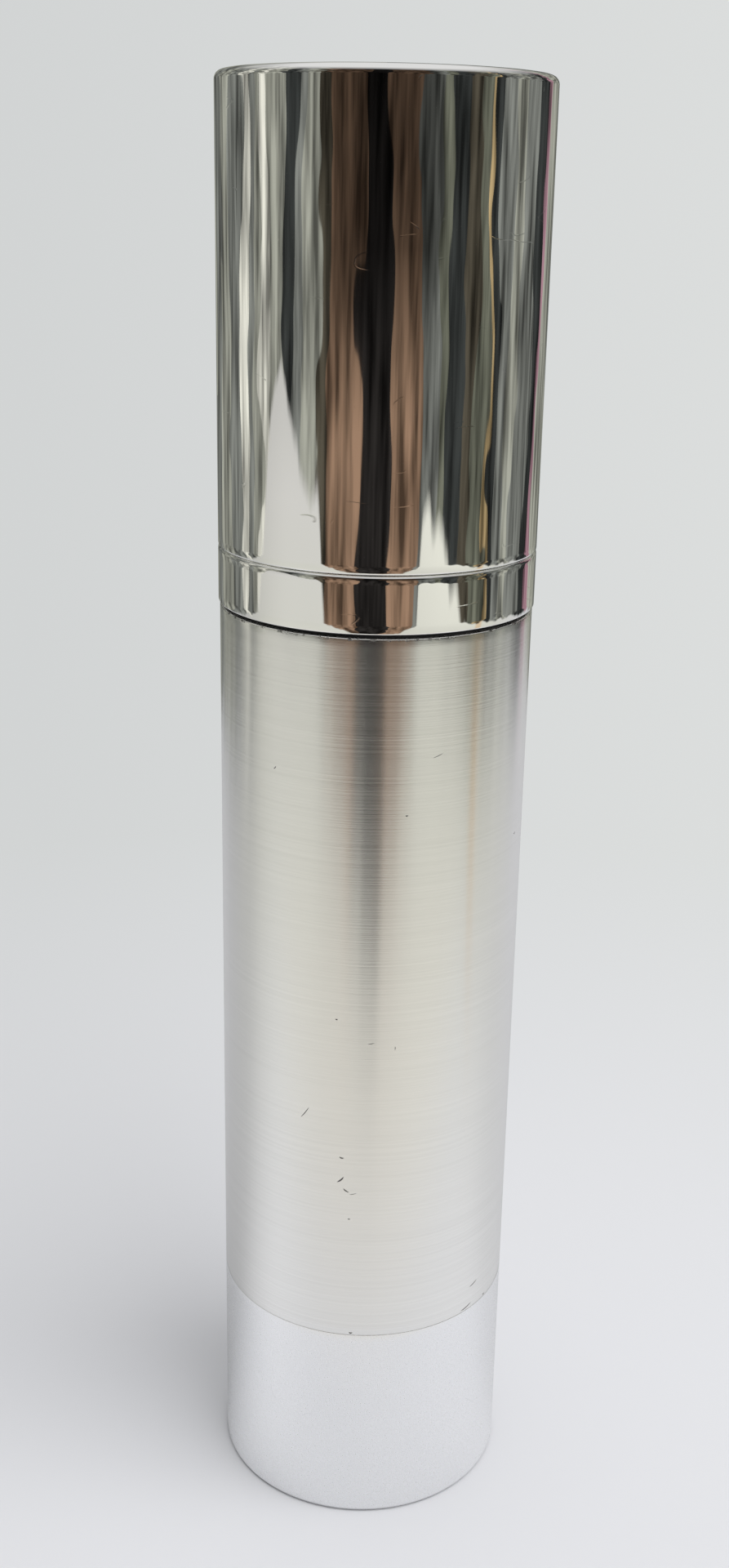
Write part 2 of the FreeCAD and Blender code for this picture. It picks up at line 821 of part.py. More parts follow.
def least_turn_gap(path, wire):
    """The least clear distance between neighbouring turns, measured on points along the wire."""
    half_turn = SPRING_GAP_POINTS_PER_TURN // 2
    points = path.discretize(Number=SPRING_TURNS * SPRING_GAP_POINTS_PER_TURN + 1)
    least = min(
        (points[first] - points[second]).Length
        for first in range(len(points))
        for second in range(first + half_turn, len(points))
    )
    return least - wire


def build_return_spring():
    """Compression spring round the stem, one unbroken wire."""
    wire = s.spring_wire.value
    bottom = guide_top.value + s.seat_gap.value + wire * HALF_SHARE
    top = spring_roof.value - s.seat_gap.value - wire * HALF_SHARE
    coil_rise = wire + s.spring_coil_gap.value
    middle_rise = (top - bottom - 2 * coil_rise) / (SPRING_TURNS - 2)
    turns = [step / SPRING_STEPS_PER_TURN for step in range(SPRING_TURNS * SPRING_STEPS_PER_TURN + 1)]
    places = [spring_place(turn, bottom, coil_rise, middle_rise) for turn in turns]
    edges = []
    for (start, start_way), (finish, finish_way) in zip(places, places[1:]):
        edges += biarc(start, start_way, finish, finish_way)
    path = Part.Wire(edges)
    first_place, first_way = places[0]
    section = Part.Wire([Part.makeCircle(wire * HALF_SHARE, first_place, first_way)])
    spring = doc.addObject("Part::Feature", "return_spring")
    spring.Label = "return_spring"
    spring.Shape = path.makePipeShell([section], True, False)
    expected = path.Length * math.pi * (wire * HALF_SHARE) ** 2
    print(f"return_spring: volume {spring.Shape.Volume:.3f} of {expected:.3f} expected")
    print(f"return_spring: least gap between turns {least_turn_gap(path, wire):.3f}")
    return spring


def build_actuator_shell():
    """Finger button: a drawn cup with a dished top and a window for the nozzle."""
    rim = actuator_radius - s.actuator_rim
    dish_bottom = actuator_top - s.actuator_dish
    roof = actuator_top - s.actuator_wall
    body = new_body("actuator_shell")
    revolve(body, [
        (actuator_bore, actuator_bottom),
        (actuator_radius, actuator_bottom),
        (actuator_radius, actuator_top),
        (rim, actuator_top),
        (ZERO, dish_bottom),
        (ZERO, dish_bottom - s.actuator_wall),
        (rim, roof),
        (actuator_bore, roof),
    ], dishes_to_axis=(3,), dishes_from_axis=(5,))
    round_rims(body, [(actuator_radius, actuator_top)], s.actuator_edge_round)
    window = new_sketch(body, "XZ_Plane")
    draw_circle(window, s.nozzle_radius + s.fit_gap, outlet_height)
    pocket(body, window, actuator_radius + s.cut_overrun, along_normal=True)
    return body


def build_actuator_core():
    """Moulded core: socket for the stem, ledge for the spring, riser and spout channel."""
    skirt_bottom = actuator_bottom + s.core_skirt_set_back
    socket_roof = stem_top + s.fit_gap
    riser_top = outlet_height + s.riser_radius
    seat_radius = s.nozzle_radius + s.seat_gap
    body = new_body("actuator_core")
    revolve(body, [
        (socket_bore, socket_bottom),
        (socket_radius, socket_bottom),
        (socket_radius, spring_roof),
        (column_radius, spring_roof),
        (column_radius, deck_roof),
        (core_bore, deck_roof),
        (core_bore, skirt_bottom),
        (core_radius, skirt_bottom),
        (core_radius, deck_top),
        (ZERO, deck_top),
        (ZERO, riser_top),
        (s.riser_radius, riser_top),
        (s.riser_radius, socket_roof),
        (socket_bore, socket_roof),
    ])
    rib_inner = socket_bore + s.column_wall * HALF_SHARE
    rib_outer = core_bore + s.core_wall * HALF_SHARE
    rib_bottom = deck_roof - s.core_rib_height
    add_ribs(body, rib_inner, rib_outer, s.core_rib_width, rib_bottom, s.core_rib_height, CORE_RIBS)
    spout = new_sketch(body, "XZ_Plane", rib_inner)
    draw_circle(spout, seat_radius + s.spout_wall, outlet_height)
    pad(body, spout, core_bore + s.core_wall * SPOUT_END_SHARE - rib_inner)
    channel = new_sketch(body, "XZ_Plane")
    draw_circle(channel, s.channel_radius, outlet_height)
    pocket(body, channel, core_radius + s.cut_overrun, along_normal=True)
    seat = new_sketch(body, "XZ_Plane", nozzle_seat - s.seat_gap)
    draw_circle(seat, seat_radius, outlet_height)
    pocket(body, seat, core_radius + s.cut_overrun, along_normal=True)
    return body


def build_nozzle_insert():
    """Nozzle, modelled along its own axis and then laid into the spout."""
    mouth_radius = s.nozzle_bore + s.nozzle_mouth
    mouth_start = s.nozzle_length - s.nozzle_mouth
    edge_start = s.nozzle_length - s.nozzle_edge
    body = new_body("nozzle_insert")
    revolve(body, [
        (s.nozzle_bore, ZERO),
        (s.nozzle_radius, ZERO),
        (s.nozzle_radius, edge_start),
        (s.nozzle_radius - s.nozzle_edge, s.nozzle_length),
        (mouth_radius, s.nozzle_length),
        (s.nozzle_bore, mouth_start),
    ])
    body.Placement.Rotation = FreeCAD.Rotation(FreeCAD.Vector(1, 0, 0), QUARTER_DEGREES)
    body.setExpression("Placement.Base.y", (-nozzle_seat).text)
    body.setExpression("Placement.Base.z", outlet_height.text)
    return body


def build_overcap_shell():
    """Drawn cap with a plain round top edge."""
    body = new_body("overcap_shell")
    revolve(body, [
        (cap_bore, collar_top),
        (collar_radius, collar_top),
        (collar_radius, cap_top),
        (ZERO, cap_top),
        (ZERO, cap_roof),
        (cap_bore, cap_roof),
    ])
    round_rims(body, [(collar_radius, cap_top)], s.cap_edge_round)
    round_rims(body, [(collar_radius, collar_top)], s.cap_rim_round)
    return body


def build_overcap_liner():
    """Moulded cup in the cap, with crush ribs outside and a snap bead that grips the spigot."""
    bottom = collar_top + s.liner_set_back
    rim_top = bottom + s.liner_rim
    roof = cap_roof - s.liner_wall
    bead_radius = spigot_radius + s.seal_gap
    bead_bottom = collar_top + s.snap_height
    bead_land = bead_bottom + s.snap_slope
    bead_land_top = bead_land + s.snap_land
    body = new_body("overcap_liner")
    revolve(body, [
        (liner_bore, bottom),
        (liner_rim_radius, bottom),
        (liner_rim_radius, rim_top),
        (liner_radius, rim_top),
        (liner_radius, roof),
        (liner_rim_radius, roof),
        (liner_rim_radius, cap_roof),
        (ZERO, cap_roof),
        (ZERO, roof),
        (liner_bore, roof),
        (liner_bore, bead_land_top + s.snap_slope),
        (bead_radius, bead_land_top),
        (bead_radius, bead_land),
        (liner_bore, bead_bottom),
    ])
    rib_inner = liner_bore + s.liner_wall * HALF_SHARE
    rib_outer = liner_rim_radius - s.fit_gap
    add_ribs(body, rib_inner, rib_outer, s.liner_rib_width, rim_top, roof - rim_top, LINER_RIBS)
    return body


def build_follower_piston():
    """Piston with a wiping lip at each end and a well that takes the pump when the bottle is empty."""
    lip = reservoir_bore - s.seal_gap
    lip_inside = lip - s.follower_lip_tip
    waist = reservoir_bore - s.follower_waist_gap
    skirt_bore = waist - s.follower_skirt_wall
    groove_outer = lip_inside
    groove_inner = groove_outer - s.follower_groove_width
    groove_middle = groove_inner + s.follower_groove_width * HALF_SHARE
    crown_roof = follower_top - s.follower_wall
    low_land = follower_bottom + s.follower_lip_land
    high_land = follower_top - s.follower_lip_land
    well_radius = housing_radius + s.well_gap
    well_low_radius = nose_radius + s.well_gap
    cone_top = follower_top - (shoulder_roof - chamber_floor) - s.well_gap
    cone_bottom = cone_top - (well_radius - well_low_radius)
    well_floor = follower_top - well_depth
    body = new_body("follower_piston")
    revolve(body, [
        (ZERO, well_floor),
        (well_low_radius, well_floor),
        (well_low_radius, cone_bottom),
        (well_radius, cone_top),
        (well_radius, follower_top),
        (groove_inner, follower_top),
        (groove_middle, follower_top - s.follower_groove),
        (groove_outer, follower_top),
        (lip, follower_top),
        (lip, high_land),
        (waist, high_land - s.follower_lip_slope),
        (waist, low_land + s.follower_lip_slope),
        (lip, low_land),
        (lip, follower_bottom),
        (lip_inside, follower_bottom),
        (skirt_bore, low_land + s.follower_lip_slope),
        (skirt_bore, crown_roof),
        (well_radius + s.follower_wall, crown_roof),
        (well_radius + s.follower_wall, cone_top),
        (well_low_radius + s.follower_wall, cone_bottom),
        (well_low_radius + s.follower_wall, well_floor - s.follower_wall),
        (ZERO, well_floor - s.follower_wall),
    ])
    rib_inner = well_radius + s.follower_wall * HALF_SHARE
    rib_outer = skirt_bore + s.follower_skirt_wall * HALF_SHARE
    rib_height = s.follower_rib_height
    rib_bottom = crown_roof - rib_height
    add_ribs(body, rib_inner, rib_outer, s.follower_rib_width, rib_bottom, rib_height, FOLLOWER_RIBS)
    return body


def check(pieces):
    """Stop if anything in the document failed, or a piece is not one valid solid."""
    doc.recompute()
    for item in doc.Objects:
        if {"Invalid", "Error"} & set(item.State):
            raise RuntimeError(f"{item.Name} failed: {item.State}")
    for piece in pieces:
        shape = piece.Shape
        if shape.isNull() or not shape.isValid() or len(shape.Solids) != 1:
            raise RuntimeError(f"{piece.Label} is not one valid solid")


def write(pieces):
    os.makedirs("parts", exist_ok=True)
    for piece in pieces:
        piece.Shape.exportStep(os.path.join("parts", f"{piece.Label}.step"))


pieces = [
    build_base_shell(),
    build_base_plug(),
    build_reservoir(),
    build_follower_piston(),
    build_outer_sleeve(),
    build_collar_shell(),
    build_closure_ring(),
    build_neck_gasket(),
    build_pump_housing(),
    build_ball_cage(),
    build_inlet_ball(),
    build_stem_guide(),
    build_pump_piston(),
    build_stem(),
    build_valve_plug(),
    build_return_spring(),
    build_actuator_shell(),
    build_actuator_core(),
    build_nozzle_insert(),
    build_overcap_shell(),
    build_overcap_liner(),
]
check(pieces)
write(pieces)
print(f"follower travel {(shoulder_roof - s.end_gap - follower_top).value:.2f}")
print(f"height {cap_top.value:.2f}")
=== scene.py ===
import math

import bmesh
import bpy
from mathutils import Matrix, Vector


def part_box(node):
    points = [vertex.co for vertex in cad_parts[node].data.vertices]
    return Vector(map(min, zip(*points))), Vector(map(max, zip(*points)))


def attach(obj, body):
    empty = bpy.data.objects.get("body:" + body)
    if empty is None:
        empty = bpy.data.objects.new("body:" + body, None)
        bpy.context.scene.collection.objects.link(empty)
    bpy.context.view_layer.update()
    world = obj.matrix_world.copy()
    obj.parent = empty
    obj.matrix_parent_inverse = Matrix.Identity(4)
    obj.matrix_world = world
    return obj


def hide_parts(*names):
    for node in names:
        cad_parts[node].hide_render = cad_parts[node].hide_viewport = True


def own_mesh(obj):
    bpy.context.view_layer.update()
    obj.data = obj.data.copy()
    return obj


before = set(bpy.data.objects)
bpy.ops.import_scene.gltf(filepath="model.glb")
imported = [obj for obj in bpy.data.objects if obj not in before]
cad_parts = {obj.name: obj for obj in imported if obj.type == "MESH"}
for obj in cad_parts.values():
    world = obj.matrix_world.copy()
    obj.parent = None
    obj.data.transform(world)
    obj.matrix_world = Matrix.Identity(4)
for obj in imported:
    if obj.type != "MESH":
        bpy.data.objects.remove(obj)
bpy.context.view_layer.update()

# Counts of segments and turns, and the angles from which an edge stays sharp
SEGMENTS = 192
BEVEL_SEGMENTS = 6
CAP_EDGE_SEGMENTS = 8
RIM_SEGMENTS = 4
SEAM_SEGMENTS = 3
WALL_STEPS = 3
SLEEVE_STEPS = 6
DISH_STEPS = 10
NOZZLE_SEGMENTS = 64
SPRING_TURNS = 6
SPRING_STEPS = 40
WIRE_SEGMENTS = 14
BALL_STEPS = 24
SMOOTH_DEGREES = 32
WIRE_SMOOTH_DEGREES = 50

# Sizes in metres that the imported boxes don't give
SAME_PLACE = 2e-6
SUPPORT = 0.0004
CAP_WALL = 0.0005
CAP_EDGE_ROUND = 0.0007
CAP_RIM_ROUND = 0.00022
COLLAR_WALL = 0.0005
COLLAR_EDGE_ROUND = 0.00035
COLLAR_LIP_ROUND = 0.00012
SPIGOT_STEP = 0.00253
SPIGOT_ROLL = 0.0008
SLEEVE_WALL = 0.0005
SLEEVE_EDGE_ROUND = 0.00012
SEAM_ROUND = 0.00004
BASE_WALL = 0.0007
BASE_EDGE_ROUND = 0.0004
FOOT_WIDTH = 0.0016
FOOT_RECESS = 0.0006
VENT_RADIUS = 0.0008
ACTUATOR_WALL = 0.0005
ACTUATOR_RIM = 0.001
ACTUATOR_DISH = 0.001
ACTUATOR_EDGE_ROUND = 0.0006
NOZZLE_BORE = 0.0008
NOZZLE_MOUTH = 0.0004
NOZZLE_EDGE = 0.00035
NOZZLE_FIT_GAP = 0.0001
SPRING_END_RISE = 0.00105
WIRE = 0.0006

cap_low, cap_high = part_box("overcap_shell")
collar_low, collar_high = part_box("collar_shell")
sleeve_low, sleeve_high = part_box("outer_sleeve")
base_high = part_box("base_shell")[1]
button_low, button_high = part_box("actuator_shell")
nozzle_low, nozzle_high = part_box("nozzle_insert")
spring_low, spring_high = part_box("return_spring")
ball_low, ball_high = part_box("inlet_ball")
nozzle_radius = (nozzle_high[0] - nozzle_low[0]) / 2
nozzle_middle = (nozzle_low[2] + nozzle_high[2]) / 2


# Modelling by hand: one point is drawn along a piece's outline and spun round the bottle's axis

def start_point(name, radius, height):
    bpy.ops.object.select_all(action="DESELECT")
    bpy.ops.mesh.primitive_plane_add(size=SUPPORT)
    piece = bpy.context.object
    piece.name = name
    bpy.ops.object.mode_set(mode="EDIT")
    bpy.ops.mesh.select_mode(type="VERT")
    bpy.ops.mesh.select_all(action="SELECT")
    bpy.ops.mesh.merge(type="CENTER")
    bpy.ops.transform.translate(value=(radius, 0, height))
    return piece


def turned_piece(name, outline, steps=SEGMENTS):
    """Draw the outline of radii and heights from one point, spin it, and stay in edit mode."""
    piece = start_point(name, *outline[0])
    for (radius, height), (next_radius, next_height) in zip(outline, outline[1:]):
        step = (next_radius - radius, 0, next_height - height)
        bpy.ops.mesh.extrude_vertices_move(TRANSFORM_OT_translate={"value": step})
    bpy.ops.mesh.select_all(action="SELECT")
    bpy.ops.mesh.spin(steps=steps, angle=2 * math.pi, center=(0, 0, 0), axis=(0, 0, 1))
    tidy_faces()
    return piece


def tidy_faces():
    """Merge doubles and turn the faces outwards. All of the piece is selected afterwards."""
    bpy.ops.mesh.select_all(action="SELECT")
    bpy.ops.mesh.remove_doubles(threshold=SAME_PLACE)
    bpy.ops.mesh.select_all(action="SELECT")
    bpy.ops.mesh.normals_make_consistent(inside=False)


def select_rim(piece, radius, height):
    """Select the ring of edges at one radius and height."""
    bpy.ops.mesh.select_mode(type="EDGE")
    bpy.ops.mesh.select_all(action="DESELECT")
    shape = bmesh.from_edit_mesh(piece.data)
    for edge in shape.edges:
        edge.select_set(all(
            abs(math.hypot(point.co.x, point.co.y) - radius) < SAME_PLACE
            and abs(point.co.z - height) < SAME_PLACE
            for point in edge.verts
        ))
    bmesh.update_edit_mesh(piece.data)


def round_rim(piece, radius, height, width, segments=BEVEL_SEGMENTS):
    select_rim(piece, radius, height)
    bpy.ops.mesh.bevel(offset=width, segments=segments, affect="EDGES")


def finish_piece(piece, body, node, material, smooth_degrees=SMOOTH_DEGREES):
    """Leave edit mode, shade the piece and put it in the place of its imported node."""
    tidy_faces()
    bpy.ops.object.mode_set(mode="OBJECT")
    bpy.ops.object.shade_smooth_by_angle(angle=math.radians(smooth_degrees))
    piece.data.materials.clear()
    piece.data.materials.append(material)
    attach(piece, body)
    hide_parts(node)


def wall(radius, low, high, steps=WALL_STEPS):
    """Points up a straight wall, with a supporting ring next to each end."""
    inner_low = low + SUPPORT * 2
    inner_high = high - SUPPORT * 2
    inside = [inner_low + (inner_high - inner_low) * step / steps for step in range(steps + 1)]
    return [(radius, low)] + [(radius, height) for height in inside] + [(radius, high)]


def model_overcap(material):
    radius, low, high = cap_high[0], cap_low[2], cap_high[2]
    bore, roof = radius - CAP_WALL, high - CAP_WALL
    top = [(radius - SUPPORT * 4, high), (radius / 2, high), (0, high)]
    inside = [(0, roof), (bore / 2, roof), (bore - SUPPORT, roof)]
    outline = wall(radius, low, high) + top + inside
    outline += wall(bore, low, roof)[::-1] + [(radius, low)]
    piece = turned_piece("overcap_bright", outline)
    round_rim(piece, radius, high, CAP_EDGE_ROUND, segments=CAP_EDGE_SEGMENTS)
    round_rim(piece, radius, low, CAP_RIM_ROUND, segments=RIM_SEGMENTS)
    finish_piece(piece, "overcap", "overcap_shell", material)


def model_collar(material):
    radius, low, top = collar_high[0], collar_low[2], cap_low[2]
    spigot, spigot_top = radius - SPIGOT_STEP, collar_high[2]
    bore, spigot_bore = radius - COLLAR_WALL, spigot - COLLAR_WALL
    roll = spigot_bore - SPIGOT_ROLL
    shelf_roof, roll_roof = top - COLLAR_WALL, spigot_top - COLLAR_WALL
    outline = wall(radius, low, top)
    outline += [(radius - SUPPORT * 2, top), (spigot + SUPPORT, top)]
    outline += wall(spigot, top, spigot_top)
    outline += [(spigot - SUPPORT, spigot_top), (roll, spigot_top), (roll, roll_roof)]
    outline += [(spigot_bore, roll_roof), (spigot_bore, shelf_roof), (bore, shelf_roof)]
    outline += [(bore, low), (radius, low)]
    piece = turned_piece("collar_bright", outline)
    round_rim(piece, radius, top, COLLAR_EDGE_ROUND)
    round_rim(piece, spigot, spigot_top, COLLAR_EDGE_ROUND)
    round_rim(piece, radius, low, COLLAR_LIP_ROUND, segments=RIM_SEGMENTS)
    finish_piece(piece, "bottle", "collar_shell", material)


def model_sleeve(material):
    radius, low, high = sleeve_high[0], sleeve_low[2], sleeve_high[2]
    bore = radius - SLEEVE_WALL
    outline = wall(radius, low, high, steps=SLEEVE_STEPS)
    outline += wall(bore, low, high)[::-1] + [(radius, low)]
    piece = turned_piece("sleeve_brushed", outline)
    round_rim(piece, radius, high, SLEEVE_EDGE_ROUND, segments=RIM_SEGMENTS)
    round_rim(piece, radius, low, SEAM_ROUND, segments=SEAM_SEGMENTS)
    finish_piece(piece, "bottle", "outer_sleeve", material)


def model_base(material):
    radius, high = base_high[0], base_high[2]
    bore = radius - BASE_WALL
    foot = radius - BASE_EDGE_ROUND - FOOT_WIDTH
    panel = foot - FOOT_RECESS
    panel_top = FOOT_RECESS + BASE_WALL
    outline = [(VENT_RADIUS, FOOT_RECESS), (panel, FOOT_RECESS), (foot, 0), (foot + SUPPORT, 0)]
    outline += [(radius - SUPPORT * 2, 0)] + wall(radius, 0, high)
    outline += [(bore, high), (bore, BASE_WALL), (foot, BASE_WALL), (panel, panel_top)]
    outline += [(VENT_RADIUS, panel_top), (VENT_RADIUS, FOOT_RECESS)]
    piece = turned_piece("base_satin", outline)
    round_rim(piece, radius, 0, BASE_EDGE_ROUND)
    round_rim(piece, radius, high, SEAM_ROUND, segments=SEAM_SEGMENTS)
    finish_piece(piece, "bottle", "base_shell", material)


def model_button(material):
    radius, low, high = button_high[0], button_low[2], button_high[2]
    bore = radius - ACTUATOR_WALL
    rim = radius - ACTUATOR_RIM
    roof = high - ACTUATOR_WALL
    ball = (rim ** 2 + ACTUATOR_DISH ** 2) / (2 * ACTUATOR_DISH)
    shares = [step / DISH_STEPS for step in range(DISH_STEPS, -1, -1)]
    dish = [(rim * share, ball - math.sqrt(ball ** 2 - (rim * share) ** 2)) for share in shares]
    top = [(across, high - ACTUATOR_DISH + rise) for across, rise in dish]
    under = [(across, roof - ACTUATOR_DISH + rise) for across, rise in dish[::-1]]
    outline = wall(radius, low, high) + top + under
    outline += [(bore, roof), (bore, low), (radius, low)]
    piece = turned_piece("button_bright", outline)
    round_rim(piece, radius, high, ACTUATOR_EDGE_ROUND)
    cut_window(piece)
    finish_piece(piece, "pump_head", "actuator_shell", material)


def cut_window(piece):
    """Open the round window that the nozzle comes through."""
    tidy_faces()
    bpy.ops.object.mode_set(mode="OBJECT")
    reach = button_high[0]
    bpy.ops.object.select_all(action="DESELECT")
    bpy.ops.mesh.primitive_cylinder_add(
        vertices=NOZZLE_SEGMENTS, radius=nozzle_radius + NOZZLE_FIT_GAP, depth=reach,
        location=(0, -reach, nozzle_middle), rotation=(math.pi / 2, 0, 0))
    cutter = bpy.context.object
    bpy.ops.object.select_all(action="DESELECT")
    piece.select_set(True)
    bpy.context.view_layer.objects.active = piece
    cut = piece.modifiers.new("window", "BOOLEAN")
    cut.object = cutter
    cut.operation = "DIFFERENCE"
    cut.solver = "EXACT"
    bpy.ops.object.modifier_apply(modifier=cut.name)
    bpy.data.objects.remove(cutter)
    bpy.ops.object.mode_set(mode="EDIT")


def model_nozzle(material):
    """The nozzle is turned upright, then laid forwards into the spout."""
    radius, length = nozzle_radius, nozzle_high[1] - nozzle_low[1]
    mouth = NOZZLE_BORE + NOZZLE_MOUTH
    outline = [(NOZZLE_BORE, 0), (radius, 0), (radius, SUPPORT)]
    outline += [(radius, length - NOZZLE_EDGE * 2), (radius, length), (mouth, length)]
    outline += [(NOZZLE_BORE, length - NOZZLE_MOUTH), (NOZZLE_BORE, 0)]
    piece = turned_piece("nozzle_white", outline, steps=NOZZLE_SEGMENTS)
    round_rim(piece, radius, length, NOZZLE_EDGE, segments=RIM_SEGMENTS)
    tidy_faces()
    bpy.ops.transform.rotate(value=-math.pi / 2, orient_axis="X", center_override=(0, 0, 0))
    bpy.ops.transform.translate(value=(0, nozzle_high[1], nozzle_middle))
    finish_piece(piece, "pump_head", "nozzle_insert", material)


def spring_rise(turn, bottom, top):
    """Height of the wire's middle some turns up: the end turns lie closer than the others."""
    middle_rise = (top - bottom - 2 * SPRING_END_RISE) / (SPRING_TURNS - 2)
    closed = min(turn, 1) + max(turn - (SPRING_TURNS - 1), 0)
    return bottom + closed * SPRING_END_RISE + (turn - closed) * middle_rise


def model_spring(material):
    """One round of wire, screwed up the stem, with its end turns drawn together and closed."""
    radius = spring_high[0] - WIRE / 2
    bottom = spring_low[2] + WIRE / 2
    top = spring_high[2] - WIRE / 2
    bpy.ops.object.select_all(action="DESELECT")
    bpy.ops.mesh.primitive_circle_add(vertices=WIRE_SEGMENTS, radius=WIRE / 2)
    piece = bpy.context.object
    piece.name = "spring_wire"
    bpy.ops.object.mode_set(mode="EDIT")
    bpy.ops.mesh.select_all(action="SELECT")
    bpy.ops.transform.rotate(value=-math.pi / 2, orient_axis="X", center_override=(0, 0, 0))
    bpy.ops.transform.translate(value=(radius, 0, 0))
    bpy.ops.object.mode_set(mode="OBJECT")
    screw = piece.modifiers.new("turns", "SCREW")
    screw.axis = "Z"
    screw.angle = 2 * math.pi * SPRING_TURNS
    screw.screw_offset = top - bottom
    screw.steps = SPRING_STEPS * SPRING_TURNS
    screw.render_steps = screw.steps
    screw.use_merge_vertices = False
    bpy.ops.object.modifier_apply(modifier=screw.name)
    for point in piece.data.vertices:
        step = point.index // WIRE_SEGMENTS
        share = step / (SPRING_STEPS * SPRING_TURNS)
        point.co.z += spring_rise(share * SPRING_TURNS, bottom, top) - (top - bottom) * share
    bpy.ops.object.mode_set(mode="EDIT")
    bpy.ops.mesh.select_mode(type="EDGE")
    bpy.ops.mesh.select_all(action="DESELECT")
    bpy.ops.mesh.select_non_manifold()
    bpy.ops.mesh.edge_face_add()
    finish_piece(piece, "bottle", "return_spring", material, WIRE_SMOOTH_DEGREES)
    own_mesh(piece)


def model_ball(material):
    radius = (ball_high[2] - ball_low[2]) / 2
    middle = (ball_high[2] + ball_low[2]) / 2
    turns = [math.pi * step / BALL_STEPS for step in range(1, BALL_STEPS)]
    side = [(radius * math.sin(turn), middle - radius * math.cos(turn)) for turn in turns]
    outline = [(0, ball_low[2])] + side + [(0, ball_high[2])]
    piece = turned_piece("ball_bright", outline, steps=BALL_STEPS * 2)
    finish_piece(piece, "check_ball", "inlet_ball", material)


# Materials: short words for the nodes

MIX_FIRST, MIX_SECOND, MIX_RESULT = 6, 7, 2
NOISE_MIDDLE = 0.5
NOISE_RANGE = (0.3, 0.7)


def feed(tree, socket, value):
    """Link what comes from a node, or set a plain value."""
    if isinstance(value, bpy.types.NodeSocket):
        tree.links.new(value, socket)
    else:
        socket.default_value = value


def put(tree, kind, inputs=None, **settings):
    """A node with its settings, its plain input values and its links."""
    made = tree.nodes.new(kind)
    for name, value in settings.items():
        setattr(made, name, value)
    for socket, value in (inputs or {}).items():
        feed(tree, made.inputs[socket], value)
    return made


def maths(tree, operation, first, second=0.0, clamp=False):
    inputs = {0: first, 1: second}
    return put(tree, "ShaderNodeMath", inputs, operation=operation, use_clamp=clamp).outputs[0]


def plus(tree, first, second):
    return maths(tree, "ADD", first, second)


def minus(tree, first, second, clamp=False):
    return maths(tree, "SUBTRACT", first, second, clamp)


def times(tree, first, second, clamp=False):
    return maths(tree, "MULTIPLY", first, second, clamp)


def over(tree, first, second):
    return maths(tree, "DIVIDE", first, second)


def squared(tree, value):
    return times(tree, value, value)


def larger(tree, first, second):
    return maths(tree, "MAXIMUM", first, second)


def apart(tree, first, second):
    return maths(tree, "ABSOLUTE", minus(tree, first, second))


def spread(tree, value, low, high, to_low, to_high):
    """Map a value from one range to another, held at the ends."""
    inputs = {"Value": value, "From Min": low, "From Max": high}
    inputs |= {"To Min": to_low, "To Max": to_high}
    return put(tree, "ShaderNodeMapRange", inputs).outputs["Result"]


def rising(tree, value, low, high):
    return spread(tree, value, low, high, 0.0, 1.0)


def falling(tree, value, low, high):
    return spread(tree, value, low, high, 1.0, 0.0)


def scaled(tree, vector, scale):
    inputs = {0: vector, 1: scale}
    return put(tree, "ShaderNodeVectorMath", inputs, operation="MULTIPLY").outputs[0]


def shaded(tree, tone, shade):
    inputs = {0: tone, "Scale": shade}
    return put(tree, "ShaderNodeVectorMath", inputs, operation="SCALE").outputs[0]


def split(tree, vector):
    return put(tree, "ShaderNodeSeparateXYZ", {0: vector}).outputs


def angle_round(tree, parts):
    """The angle round the vertical, from the camera's side."""
    return maths(tree, "ARCTAN2", parts["X"], times(tree, parts["Y"], -1.0))


def noise(tree, vector, scale, detail, **more):
    inputs = {"Vector": vector, "Scale": scale, "Detail": detail} | more
    return put(tree, "ShaderNodeTexNoise", inputs).outputs[0]


def blend_colour(tree, share, first, second):
    inputs = {"Factor": share, MIX_FIRST: first, MIX_SECOND: second}
    return put(tree, "ShaderNodeMix", inputs, data_type="RGBA").outputs[MIX_RESULT]


def ramp(tree, value, stops, interpolation):
    made = put(tree, "ShaderNodeValToRGB", {"Fac": value})
    band = made.color_ramp
    band.interpolation = interpolation
    while len(band.elements) < len(stops):
        band.elements.new(1.0)
    for element, (place, colour) in zip(band.elements, stops):
        element.position = place
        element.color = colour
    return made.outputs["Color"]


def bump(tree, height, distance, under=None):
    inputs = {"Height": height, "Strength": 1.0, "Distance": distance}
    if under is not None:
        inputs["Normal"] = under
    return put(tree, "ShaderNodeBump", inputs).outputs["Normal"]


def tone_times(tone, share):
    return tuple(channel * share for channel in tone[:3]) + (1,)


# Effects that the finishes share

HAIRLINE_CURL = 0.6
HAIRLINE_PATCHES = 2.3
HAIRLINE_FADE = 12.0
NICK_SHARPNESS = 2.5


def new_group(name, inputs, outputs):
    tree = bpy.data.node_groups.new(name, "ShaderNodeTree")
    tree.interface.new_socket("Coordinates", in_out="INPUT", socket_type="NodeSocketVector")
    for label, value in inputs.items():
        socket = tree.interface.new_socket(label, in_out="INPUT", socket_type="NodeSocketFloat")
        socket.default_value = value
    for label in outputs:
        tree.interface.new_socket(label, in_out="OUTPUT", socket_type="NodeSocketFloat")
    given = tree.nodes.new("NodeGroupInput").outputs
    wanted = tree.nodes.new("NodeGroupOutput").inputs
    return tree, given["Coordinates"], given, wanted


